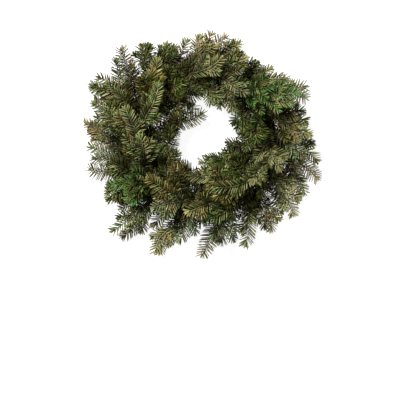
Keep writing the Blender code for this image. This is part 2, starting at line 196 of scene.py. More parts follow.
@dataclass
class Surface:
    """The points, faces and per-point values of one piece, gathered shape by shape.

    Each shape has every named value, and one that it leaves out is 0.
    """

    names: tuple[str, ...] = ()
    points: list[Array] = field(default_factory=list)
    faces: list[Faces] = field(default_factory=list)
    finishes: list[Faces] = field(default_factory=list)
    values: dict[str, list[Array]] = field(default_factory=dict)
    count: int = 0

    def add(self, points: Array, faces: Sequence[Faces], finish: int, **values: Number) -> None:
        """Adds one shape, or many alike.

        Args:
            points: The points, with x, y and z last.
            faces: Tables of the corners of each face, one table for each number of corners.
            finish: The place of its material in the piece's list.
            **values: Numbers for each point, which the material reads by name.
        """
        flat = points.reshape(-1, 3)
        self.points.append(flat)
        for table in faces:
            self.faces.append(table + self.count)
            self.finishes.append(np.full(len(table), finish))
        for name in self.names:
            spread = np.broadcast_to(values.get(name, 0.0), points.shape[:-1]).reshape(-1)
            self.values.setdefault(name, []).append(spread)
        self.count += len(flat)

    def within(self, low: Array, high: Array) -> None:
        """Moves each point that lies outside a box straight onto the box."""
        self.points = [np.clip(points, low, high) for points in self.points]

    def mesh(self, name: str) -> bpy.types.Mesh:
        """Makes the mesh, with smooth faces and with the values of its points.

        Args:
            name: The mesh's name.

        Returns:
            The new mesh.
        """
        mesh = bpy.data.meshes.new(name)
        corners = np.concatenate([table.ravel() for table in self.faces])
        sizes = np.concatenate([np.full(len(table), table.shape[1]) for table in self.faces])
        starts = np.append(0, np.cumsum(sizes)[:-1])
        finishes = np.concatenate(self.finishes)
        mesh.vertices.add(self.count)
        mesh.vertices.foreach_set("co", np.concatenate(self.points).astype(np.float32).ravel())
        mesh.loops.add(len(corners))
        mesh.loops.foreach_set("vertex_index", corners.astype(np.int32))
        mesh.polygons.add(len(sizes))
        mesh.polygons.foreach_set("loop_start", starts.astype(np.int32))
        mesh.polygons.foreach_set("material_index", finishes.astype(np.int32))
        mesh.polygons.foreach_set("use_smooth", np.ones(len(sizes), dtype=bool))
        for key, parts in self.values.items():
            layer = mesh.attributes.new(key, "FLOAT", "POINT")
            layer.data.foreach_set("value", np.concatenate(parts).astype(np.float32))
        mesh.update(calc_edges=True)
        return mesh

    def made(self, name: str, materials: Sequence[Material]) -> bpy.types.Object:
        """Makes the object, which stands unturned at the origin with its place in its mesh.

        Args:
            name: The object's name.
            materials: The finishes, in the order that add counts them.

        Returns:
            The new object.
        """
        mesh = self.mesh(name)
        for material in materials:
            mesh.materials.append(material)
        made = bpy.data.objects.new(name, mesh)
        bpy.context.scene.collection.objects.link(made)
        return made

    def piece(self, name: str, materials: Sequence[Material]) -> bpy.types.Object:
        """Makes the object as a piece of the wreath, and lets it ride on the wreath's body.

        Args:
            name: The piece's name.
            materials: The finishes, in the order that add counts them.

        Returns:
            The new piece.
        """
        piece = self.made(name, materials)
        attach(piece, BODY)
        return piece


def carried(
    paths: Array, across: Array, over: Array, widths: Array, depths: Array, sides: int
) -> Array:
    """An oval section carried along many paths at once.

    Corner k of station j lies at path[j] + across w cos(a) + over d sin(a), where w and d are half
    the width and depth there and a is a whole turn times k / sides.

    Args:
        paths: Points, by path and station.
        across: Unit vectors along the section's width, for each station or for each path.
        over: The same along its depth. Across, over and the path are right-handed.
        widths: Half the section's width at each station.
        depths: Half its depth.
        sides: The number of corners of the section.

    Returns:
        Points by path, station and corner.
    """
    turns = np.arange(sides) * 2.0 * math.pi / sides
    wide = (widths[..., None] * np.cos(turns))[..., None]
    deep = (depths[..., None] * np.sin(turns))[..., None]
    return paths[..., None, :] + across[..., None, :] * wide + over[..., None, :] * deep


def carried_faces(paths: int, stations: int, sides: int) -> list[Faces]:
    """The faces of closed forms that carried gives, pointing outwards.

    Args:
        paths: How many forms there are.
        stations: Stations along each.
        sides: Corners round each.

    Returns:
        The four-cornered sides, and the two end faces of each form.
    """
    form = np.arange(paths)[:, None, None] * stations * sides
    row = np.arange(stations - 1)[None, :, None] * sides
    column = np.arange(sides)[None, None, :]
    after = (column + 1) % sides
    corners = (row + column, row + after, row + after + sides, row + column + sides)
    walls = np.stack([form + corner for corner in corners], axis=-1).reshape(-1, 4)
    starts = form[:, 0, 0, None] + np.arange(sides)[::-1]
    ends = form[:, 0, 0, None] + (stations - 1) * sides + np.arange(sides)
    return [walls, np.concatenate([starts, ends])]


def round_tube(path: Array, facing: Array, radius: Number, sides: int) -> Array:
    """A round section carried along one path, square to it.

    The section's width lies along the cross product of a given vector and the path's direction.

    Args:
        path: The points of the path.
        facing: The given vector, or one for each point.
        radius: The radius, or one for each point.
        sides: The number of corners of the section.

    Returns:
        Points by path, station and corner, for the one path.
    """
    ahead = directions(path[None])
    across = unit(np.cross(facing, ahead))
    radii = np.broadcast_to(radius, path[None].shape[:-1])
    return carried(path[None], across, np.cross(ahead, across), radii, radii, sides)


@dataclass(frozen=True)
class Nodes:
    """A material's node tree, with short ways to add and join nodes."""

    material: Material

    @classmethod
    def named(cls, name: str) -> "Nodes":
        """Starts a material, with its plain shader.

        Args:
            name: The material's name.

        Returns:
            The nodes of the new material.
        """
        material = bpy.data.materials.new(name)
        material.use_nodes = True
        return cls(material)

    @property
    def shader(self) -> bpy.types.Node:
        """The material's own shader."""
        return self.material.node_tree.nodes["Principled BSDF"]

    def add(self, kind: str, **settings: object) -> bpy.types.Node:
        """Adds a node.

        Args:
            kind: The kind of node, as Blender names it.
            **settings: What is set on the node itself.

        Returns:
            The new node.
        """
        node = self.material.node_tree.nodes.new(kind)
        for key, value in settings.items():
            setattr(node, key, value)
        return node

    def join(self, source: Socket, target: Socket) -> None:
        """Joins one socket to another."""
        self.material.node_tree.links.new(source, target)

    def set(self, node: bpy.types.Node, **values: Socket | Colour | float) -> None:
        """Fills the inputs of a node.

        Args:
            node: The node.
            **values: A socket to join, a colour or a number for each input, by the input's name
                with _ for each space.
        """
        for key, value in values.items():
            target = node.inputs[key.replace("_", " ")]
            if isinstance(value, Socket):
                self.join(value, target)
            else:
                target.default_value = (*value, 1.0) if isinstance(value, tuple) else value

    def value(self, name: str) -> Socket:
        """The number that the mesh keeps under this name."""
        return self.add("ShaderNodeAttribute", attribute_name=name).outputs["Fac"]

    def place(self) -> Socket:
        """The place on the object, in its own coordinates."""
        return self.add("ShaderNodeTexCoord").outputs["Object"]

    def noise(self, scale: float, detail: float = 2.0, place: Socket | None = None) -> Socket:
        """Noise over the object's own coordinates, or over another place.

        Args:
            scale: How many of its cells fit on a metre.
            detail: How many finer layers it has.
            place: The other place, where there is one.

        Returns:
            A number from 0 to 1.
        """
        node = self.add("ShaderNodeTexNoise")
        self.set(node, Scale=scale, Detail=detail, Vector=place or self.place())
        return node.outputs["Fac"]

    def ramp(self, source: Socket, places: Sequence[float], colours: Sequence[Colour]) -> Socket:
        """Colours that change along a number.

        Args:
            source: The number.
            places: The numbers, from 0 to 1, at which a colour is reached.
            colours: The colour at each of them.

        Returns:
            The colour.
        """
        node = self.add("ShaderNodeValToRGB")
        bands = node.color_ramp.elements
        while len(bands) < len(places):
            bands.new(0.5)
        for band, place, colour in zip(bands, places, colours):
            band.position = place
            band.color = (*colour, 1.0)
        self.set(node, Fac=source)
        return node.outputs["Color"]

    def ranged(self, source: Socket, onto: Span, over: Span = (0.0, 1.0)) -> Socket:
        """Moves a number from one range onto another, and holds it there.

        Args:
            source: The number.
            onto: The range of the result.
            over: The range of the source.

        Returns:
            The moved number.
        """
        node = self.add("ShaderNodeMapRange")
        self.set(node, Value=source, From_Min=over[0], From_Max=over[1])
        self.set(node, To_Min=onto[0], To_Max=onto[1])
        return node.outputs["Result"]

    def maths(self, operation: str, first: Socket, second: Socket | float = 0.0) -> Socket:
        """A sum, product or other operation on one or two numbers.

        Args:
            operation: What is done, as Blender names it.
            first: The first number.
            second: The second number, where the operation has one.

        Returns:
            The result.
        """
        node = self.add("ShaderNodeMath", operation=operation)
        self.join(first, node.inputs[0])
        if isinstance(second, float):
            node.inputs[1].default_value = second
        else:
            self.join(second, node.inputs[1])
        return node.outputs["Value"]

    def times(self, first: Socket, second: Socket | float) -> Socket:
        """The product of two numbers."""
        return self.maths("MULTIPLY", first, second)

    def waves(self, source: Socket, turn: float) -> Socket:
        """Waves from 0 to 1: half of 1 + the sine of the number times turn, which is in radians."""
        return self.ranged(self.maths("SINE", self.times(source, turn)), (0.0, 1.0), (-1.0, 1.0))

    def mix(
        self, factor: Socket | float, first: Socket, second: Socket | Colour, kind: str = "MIX"
    ) -> Socket:
        """One colour laid over another.

        Args:
            factor: How much of the second colour shows.
            first: The colour below.
            second: The colour above, or a fixed colour.
            kind: How they are laid, as Blender names it.

        Returns:
            The mixed colour.
        """
        node = self.add("ShaderNodeMix", data_type="RGBA", blend_type=kind)
        self.set(node, Factor=factor, A=first, B=second)
        return node.outputs["Result"]

    def finish(
        self, colour: Socket, rough: Socket, height: Socket, strength: float, depth: float
    ) -> Material:
        """Gives the shader its colour, its roughness and a height that tilts its normal.

        Args:
            colour: The base colour.
            rough: The roughness.
            height: The height, from 0 to 1.
            strength: How much the height tilts the normal.
            depth: The height that 1 stands for, in metres.

        Returns:
            The finished material.
        """
        bump = self.add("ShaderNodeBump")
        self.set(bump, Strength=strength, Distance=depth, Height=height)
        self.set(self.shader, Base_Color=colour, Roughness=rough, Normal=bump.outputs["Normal"])
        return self.material


@dataclass(frozen=True)
class NeedleFinish:
    """The finish of preserved fir needles in one tint.

    Colour runs with each needle's own tone, partly random and partly painted light and shade, from
    shaded to sunny, with a few dry ones, and lies between the common run of all tints and the tint's
    own. The tip has painted light, mixed towards the sunny colour, the root painted shade, and the
    underside has its pale waxy bands. Broad patches are ruddier or leafier than the rest, and needles
    deep in the wreath are darkened by painted shade.
    """

    name: str
    shaded: Colour
    middle: Colour
    sunny: Colour
    underside: Colour
    common: tuple[Colour, Colour, Colour] = (
        (0.012, 0.009, 0.001),
        (0.087, 0.081, 0.012),
        (0.334, 0.328, 0.162),
    )
    dry: Colour = (0.170, 0.090, 0.035)
    ruddy: Colour = (1.08, 0.95, 0.82)
    leafy: Colour = (0.86, 1.06, 0.82)
    tone_places: tuple[float, ...] = (0.0, 0.45, 0.90, 0.97)
    hue_places: tuple[float, ...] = (0.36, 0.50, 0.64)
    tip_sun: Span = (0.0, 0.14)
    painted_root_shade: Span = (0.30, 1.0)
    root_part: Span = (0.0, 0.50)
    painted_depth_shade: Span = (0.12, 1.15)
    patch_light: Span = (0.60, 1.45)
    bands: Span = (0.0, 0.55)
    patch_scale: float = 38.0
    hue_scale: float = 55.0
    grain_scale: float = 900.0
    rough_scale: float = 160.0
    roughness: Span = (0.42, 0.66)
    noise_span: Span = (0.3, 0.7)
    outer_part: Span = (0.35, 1.0)
    gloss: float = 0.04

    def material(self) -> Material:
        """Builds the needles' material.

        Returns:
            The new material.
        """
        nodes = Nodes.named(self.name)
        own = (self.shaded, self.middle, self.sunny, self.dry)
        own_run, common_run = (
            nodes.ramp(nodes.value("tone"), self.tone_places, colours)
            for colours in (own, (*self.common, self.dry))
        )
        colour = nodes.mix(nodes.value("tinted"), common_run, own_run)
        # Painted light: the outer part of each needle is mixed towards the sunny colour.
        fresh = nodes.ranged(nodes.value("along"), self.tip_sun, self.outer_part)
        colour = nodes.mix(fresh, colour, self.sunny)
        hues = (self.ruddy, WHITE, self.leafy)
        hue = nodes.ramp(nodes.noise(self.hue_scale, detail=3.0), self.hue_places, hues)
        colour = nodes.mix(1.0, colour, hue, "MULTIPLY")
        patches = nodes.noise(self.patch_scale, detail=3.0)
        patches = nodes.ranged(patches, self.patch_light, self.noise_span)
        # Painted shade: each needle is darker towards its root at the stem.
        root = nodes.ranged(nodes.value("along"), self.painted_root_shade, self.root_part)
        # Painted shade: needles low under the wreath's vault are darkened by the depth value.
        deep = nodes.ranged(nodes.value("depth"), self.painted_depth_shade)
        # Random brightness patches, times the painted shade at the root and deep in the wreath.
        shade = nodes.times(nodes.times(patches, root), deep)
        grey = nodes.add("ShaderNodeCombineColor")
        nodes.set(grey, Red=shade, Green=shade, Blue=shade)
        colour = nodes.mix(1.0, colour, grey.outputs["Color"], "MULTIPLY")
        bands = nodes.ranged(nodes.value("under"), self.bands, self.outer_part)
        colour = nodes.mix(bands, colour, self.underside)
        rough = nodes.ranged(nodes.noise(self.rough_scale), self.roughness, self.noise_span)
        nodes.set(nodes.shader, Specular_IOR_Level=self.gloss)
        grain = nodes.noise(self.grain_scale)
        return nodes.finish(colour, rough, grain, strength=0.25, depth=0.0002)


@dataclass(frozen=True)
class BarkFinish:
    """The finish of young fir bark: olive-brown, with needle scars as small raised dots."""

    name: str = "fir_bark"
    dark: Colour = (0.018, 0.010, 0.005)
    light: Colour = (0.090, 0.060, 0.026)
    places: Span = (0.25, 0.8)
    tone_light: Span = (0.7, 1.4)
    scar_reach: Span = (0.0, 0.5)
    grain_scale: float = 260.0
    scar_scale: float = 620.0
    roughness: Span = (0.62, 0.85)

    def material(self) -> Material:
        """Builds the bark's material.

        Returns:
            The new material.
        """
        nodes = Nodes.named(self.name)
        grain = nodes.noise(self.grain_scale, detail=4.0)
        toned = nodes.times(grain, nodes.ranged(nodes.value("tone"), self.tone_light))
        colour = nodes.ramp(toned, self.places, (self.dark, self.light))
        scars = nodes.add("ShaderNodeTexVoronoi")
        nodes.set(scars, Scale=self.scar_scale, Vector=nodes.place())
        raised = nodes.ranged(scars.outputs["Distance"], (1.0, 0.0), self.scar_reach)
        rough = nodes.ranged(grain, self.roughness)
        return nodes.finish(colour, rough, raised, strength=0.6, depth=0.0003)


@dataclass(frozen=True)
class BudFinish:
    """The finish of winter buds: resin over red-brown scales that overlap in rings."""

    name: str = "fir_bud"
    dark: Colour = (0.060, 0.026, 0.011)
    light: Colour = (0.230, 0.125, 0.048)
    places: Span = (0.1, 0.9)
    scale_turn: float = 26.0
    grain_scale: float = 500.0
    roughness: Span = (0.28, 0.5)

    def material(self) -> Material:
        """Builds the buds' material.

        Returns:
            The new material.
        """
        nodes = Nodes.named(self.name)
        edges = nodes.waves(nodes.value("along"), self.scale_turn)
        colour = nodes.ramp(edges, self.places, (self.dark, self.light))
        rough = nodes.ranged(nodes.noise(self.grain_scale), self.roughness)
        return nodes.finish(colour, rough, edges, strength=0.5, depth=0.0003)


@dataclass(frozen=True)
class StrawFinish:
    """The finish of dry straw: pale stalks with long fibres, greyer and browner ones among them."""

    name: str = "straw"
    brown: Colour = (0.170, 0.095, 0.035)
    pale: Colour = (0.560, 0.430, 0.200)
    places: Span = (0.2, 0.72)
    tone_light: Span = (0.75, 1.45)
    fibre_scales: tuple[float, float, float] = (5.0, 9.0, 70.0)
    noise_scale: float = 2.2
    roughness: Span = (0.55, 0.85)

    def material(self) -> Material:
        """Builds the straw's material, whose noise is long along a stalk and new on each stalk.

        Returns:
            The new material.
        """
        nodes = Nodes.named(self.name)
        along, across, stalk = (
            nodes.times(nodes.value(key), scale)
            for key, scale in zip(("along", "round", "tone"), self.fibre_scales)
        )
        place = nodes.add("ShaderNodeCombineXYZ")
        nodes.set(place, X=along, Y=across, Z=stalk)
        fibres = nodes.noise(self.noise_scale, detail=4.0, place=place.outputs["Vector"])
        toned = nodes.times(fibres, nodes.ranged(nodes.value("tone"), self.tone_light))
        colour = nodes.ramp(toned, self.places, (self.brown, self.pale))
        rough = nodes.ranged(fibres, self.roughness)
        return nodes.finish(colour, rough, fibres, strength=0.5, depth=0.0004)


@dataclass(frozen=True)
class TwineFinish:
    """The finish of the thin twine that holds the straw together: two strands laid in a twist."""

    name: str = "ring_twine"
    dark: Colour = (0.120, 0.085, 0.045)
    light: Colour = (0.380, 0.300, 0.170)
    places: Span = (0.1, 0.8)
    strands: int = 2
    grain_scale: float = 400.0
    roughness: Span = (0.7, 0.95)

    def material(self) -> Material:
        """Builds the twine's material.

        Returns:
            The new material.
        """
        nodes = Nodes.named(self.name)
        twist = nodes.maths("ADD", nodes.value("along"), nodes.value("round"))
        lay = nodes.waves(twist, self.strands * 2.0 * math.pi)
        colour = nodes.ramp(lay, self.places, (self.dark, self.light))
        rough = nodes.ranged(nodes.noise(self.grain_scale), self.roughness)
        return nodes.finish(colour, rough, lay, strength=0.7, depth=0.0002)


@dataclass(frozen=True)
class WireFinish:
    """The finish of florist's wire: dark green lacquer, worn to grey metal in spots."""

    name: str = "wire"
    lacquer: Colour = (0.018, 0.050, 0.022)
    metal: Colour = (0.180, 0.190, 0.175)
    worn_part: Span = (0.62, 0.70)
    spot_scale: float = 300.0
    roughness: Span = (0.30, 0.50)
    metallic: float = 0.35

    def material(self) -> Material:
        """Builds the wire's material.

        Returns:
            The new material.
        """
        nodes = Nodes.named(self.name)
        spots = nodes.noise(self.spot_scale, detail=3.0)
        worn = nodes.ranged(spots, (0.0, 1.0), self.worn_part)
        colour = nodes.ramp(worn, (0.0, 1.0), (self.lacquer, self.metal))
        nodes.set(nodes.shader, Metallic=self.metallic)
        rough = nodes.ranged(spots, self.roughness)
        return nodes.finish(colour, rough, spots, strength=0.2, depth=0.0001)


@dataclass(frozen=True)
class FloorFinish:
    """The finish of the studio's paper floor: almost white, with the faintest mottling."""

    name: str = "floor"
    colour: Colour = (0.38, 0.38, 0.38)
    places: Span = (0.3, 0.7)
    mottling: float = 0.985
    mottling_scale: float = 6.0
    roughness: float = 0.9
    gloss: float = 0.1
    glow: float = 0.90

    def material(self) -> Material:
        """Builds the floor's material.

        Returns:
            The new material.
        """
        nodes = Nodes.named(self.name)
        low = tuple(channel * self.mottling for channel in self.colour)
        colour = nodes.ramp(nodes.noise(self.mottling_scale), self.places, (low, self.colour))
        nodes.set(nodes.shader, Base_Color=colour, Roughness=self.roughness)
        nodes.set(nodes.shader, Specular_IOR_Level=self.gloss)
        nodes.set(nodes.shader, Emission_Color=WHITE, Emission_Strength=self.glow)
        return nodes.material


# The colours of shaded, of middle and of sunny needles, and of their undersides.
NEEDLE_COLOURS = {
    OLIVE: ((0.008, 0.014, 0.001), (0.060, 0.081, 0.009), (0.278, 0.302, 0.152), (0.160, 0.157, 0.078)),
    GOLDEN: ((0.016, 0.014, 0.001), (0.111, 0.100, 0.009), (0.368, 0.340, 0.146), (0.176, 0.162, 0.078)),
    EMERALD: ((0.003, 0.013, 0.001), (0.023, 0.072, 0.007), (0.150, 0.262, 0.086), (0.085, 0.130, 0.048)),
    BLUISH: ((0.006, 0.014, 0.005), (0.044, 0.072, 0.026), (0.215, 0.268, 0.168), (0.154, 0.182, 0.130)),
    BROWN: ((0.013, 0.009, 0.001), (0.082, 0.065, 0.015), (0.280, 0.252, 0.146), (0.162, 0.142, 0.078)),
}


@dataclass(frozen=True)
class Dress:
    """The finishes of the sprigs, and the box that the wreath's own size sets for them."""

    low: Array
    high: Array
    needles: dict[Tint, Material]
    bark: Material
    bud: Material

    @classmethod
    def made(cls, margin: float = 0.0001) -> "Dress":
        """Makes every finish of the sprigs, and a box that lies a margin inside the solids'.

        Args:
            margin: How far inside it lies.

        Returns:
            The dress.
        """
        low, high = (np.array(corner) for corner in cad_box)
        needles = {
            tint: NeedleFinish(f"needles_{tint.value}", *colours).material()
            for tint, colours in NEEDLE_COLOURS.items()
        }
        bark, bud = BarkFinish().material(), BudFinish().material()
        return cls(low + margin, high - margin, needles, bark, bud)


@dataclass
class RingForm:
    """The ring that everything is bound to, and the turns of wire round it.

    The slants say how far a turn of wire has got, in clock degrees from its middle, at each of the
    angles of the ring's section where it has a corner.
    """

    centre: Array = field(default_factory=lambda: np.array([0.0004, 0.0135, 0.0]))
    radius: float = 0.120
    thickness: float = 0.024
    axis_height: float = 0.0105
    turns: int = 14
    wire_radius: float = 0.0005
    gap: float = 0.0004
    stem_radius: float = 0.0015
    bound_length: float = 0.016
    crossing_height: float = 0.0009
    crossing_reach: float = 0.0088
    angles: tuple[float, ...] = (-30.0, 10.0, 50.0, 90.0, 130.0, 170.0, 210.0)
    slants: tuple[float, ...] = (-8.0, -4.0, -1.5, 1.0, 3.0, 5.0, 9.0)

    def turn_clock(self, turn: Number) -> Number:
        """The clock angle of the middle of a turn of wire."""
        return 360.0 * turn / self.turns

    def clock_point(self, clock: Number, reach: Number, height: Number) -> Array:
        """Centre + (reach times the sine of the clock angle, reach times its cosine, height).

        Args:
            clock: The clock angle.
            reach: The distance from the wreath's axis.
            height: The height above the wreath's back.

        Returns:
            The point, with x, y and z last.
        """
        turn = np.radians(clock)
        x, y, z = np.broadcast_arrays(reach * np.sin(turn), reach * np.cos(turn), height)
        return self.centre + np.stack([x, y, z], axis=-1)

    @staticmethod
    def clock_way(clock: Number) -> Array:
        """The level unit vector towards a clock angle: its sine, its cosine and 0."""
        turn = np.radians(clock)
        return np.stack([np.sin(turn), np.cos(turn), np.zeros_like(turn)], axis=-1)

    def section_point(self, clock: Number, angle: Number, distance: Number) -> Array:
        """The point at an angle round the ring's section and a distance from its axis.

        Its reach is the ring's radius + distance times the angle's cosine, and its height is the
        axis height + distance times the angle's sine.

        Args:
            clock: The clock angle.
            angle: The angle round the section, from 0 outwards through 90 on top.
            distance: The distance from the middle of the section.

        Returns:
            The point, with x, y and z last.
        """
        turn = np.radians(angle)
        reach = self.radius + distance * np.cos(turn)
        return self.clock_point(clock, reach, self.axis_height + distance * np.sin(turn))

    def slant_at(self, angle: float) -> float:
        """The slant at an angle of the section: straight between those of the corners."""
        return float(np.interp(angle, self.angles, self.slants))

    def onwards(self, points: Array) -> Array:
        """The level unit vectors that point clockwise round the wreath.

        Args:
            points: The points to start from, one in each row.

        Returns:
            The vector at each point.
        """
        offset = points - self.centre
        clock = np.degrees(np.arctan2(offset[:, 0], offset[:, 1]))
        return self.clock_way(clock + 90.0)


@dataclass(frozen=True)
class Vault:
    """The low vault over the ring that the tops of the sprigs make, and the light under it."""

    middle_y: float = 0.0135
    crown: float = 0.072
    outer_start: float = 0.135
    outer_width: float = 0.075
    outer_fall: float = 0.056
    inner_start: float = 0.112
    inner_width: float = 0.050
    inner_fall: float = 0.044
    dark_part: float = 0.20

    def light_at(self, points: Array) -> Array:
        """How far out of the wreath's own shade points lie, from 0 at its back to 1 on top.

        The vault's height is its crown's, less a fall towards the outer edge and one towards the
        hole, each a smooth step of the distance from the axis. The light is the smooth step of the
        share of that height at which the point lies, counted from the end of the dark part.

        Args:
            points: The points, with x, y and z last.

        Returns:
            The light at each point, with one more axis, of length 1.
        """
        reach = np.hypot(points[..., 0], points[..., 1] - self.middle_y)
        outwards = smooth_step((reach - self.outer_start) / self.outer_width)
        inwards = smooth_step((self.inner_start - reach) / self.inner_width)
        height = self.crown - self.outer_fall * outwards - self.inner_fall * inwards
        share = (points[..., 2] / height - self.dark_part) / (1.0 - self.dark_part)
        return smooth_step(share)[..., None]


VAULT = Vault()


@dataclass(frozen=True)
class Shoot:
    """A side shoot: its place on the stem, side, length, angle and, for fine ones, roll."""

    share: float
    side: int
    length: float
    angle: float
    roll: float = 8.0


@dataclass(frozen=True)
class Rank:
    """One row of needles along a stem.

    The angle is round the stem, from 0 at its left side through 90 at its top to 180 at its right.
    The lean is the needles' angle from the stem, the length their share of the growth's usual
    needle, the step the share of the pitch by which the row stands forward, and the glow what is
    added to their tone: painted light on most rows above the stem and painted shade on rows below it.
    """

    angle: float
    lean: float
    length: float
    step: float
    glow: float = 0.0


def pair(angle: float, lean: float, length: float, steps: Span, glow: float) -> tuple[Rank, ...]:
    """Two rows of needles that mirror each other across the stem, each with its own step."""
    sides = zip((angle, 180 - angle), steps)
    return tuple(Rank(side, lean, length, step, glow) for side, step in sides)


@dataclass(frozen=True)
class Habit:
    """How sprigs of one growth branch and carry their needles.

    The main shoots are those of the solid. Finer shoots stand between them.
    """

    main: tuple[Shoot, ...]
    fine: tuple[Shoot, ...]
    ranks: tuple[Rank, ...]
    pitch: float
    length: float
    whorl: int = 7


# The last number of each rank is its glow: painted light above the stem, painted shade below it.
HABITS = {
    FAN: Habit(
        main=(Shoot(0.34, 1, 0.042, 44), Shoot(0.50, -1, 0.038, 42), Shoot(0.66, 1, 0.028, 40)),
        fine=(Shoot(0.68, -1, 0.024, 40, 12),),
        ranks=(
            *pair(16, 50, 1.00, (0.00, 0.45), 0.24),
            *pair(-12, 56, 0.96, (0.50, 0.95), -0.42),
            Rank(88, 16, 0.46, 0.25, 0.00),
        ),
        pitch=0.0052,
        length=0.0185,
    ),
    PLUME: Habit(
        main=(Shoot(0.42, -1, 0.032, 40), Shoot(0.60, 1, 0.026, 38)),
        fine=(),
        ranks=(
            *pair(16, 50, 1.00, (0.00, 0.48), 0.24),
            Rank(92, 18, 0.50, 0.25, 0.02),
            *pair(-14, 56, 0.98, (0.50, 0.98), -0.42),
        ),
        pitch=0.0050,
        length=0.0188,
    ),
    TWIG: Habit(
        main=(Shoot(0.56, 1, 0.022, 42),),
        fine=(),
        ranks=(
            *pair(6, 72, 1.00, (0.00, 0.46), 0.04),
            *pair(-10, 66, 1.00, (0.50, 0.96), -0.20),
            *pair(48, 46, 0.60, (0.50, 0.96), 0.08),
        ),
        pitch=0.0052,
        length=0.0198,
        whorl=4,
    ),
    TUFT: Habit(
        main=(Shoot(0.66, 1, 0.024, 46), Shoot(0.76, -1, 0.020, 46)),
        fine=(Shoot(0.80, 1, 0.016, 46, -6),),
        ranks=(
            *pair(14, 54, 1.00, (0.00, 0.48), 0.14),
            *pair(54, 36, 0.80, (0.50, 0.98), 0.12),
            *pair(-20, 60, 0.95, (0.52, 1.00), -0.42),
        ),
        pitch=0.0050,
        length=0.0188,
        whorl=11,
    ),
}


@dataclass(frozen=True)
class Spray:
    """The needles of one stem: for each the values of its row, and its place.

    The share runs from 0 where the needles start to 1 at the tip, the marks are the distances of
    the roots from the stem's start, and the whole is the stem's length.
    """

    angle: Array
    lean: Array
    length: Array
    glow: Array
    share: Array
    marks: Array
    whole: float

    @property
    def count(self) -> int:
        """How many needles there are."""
        return len(self.share)


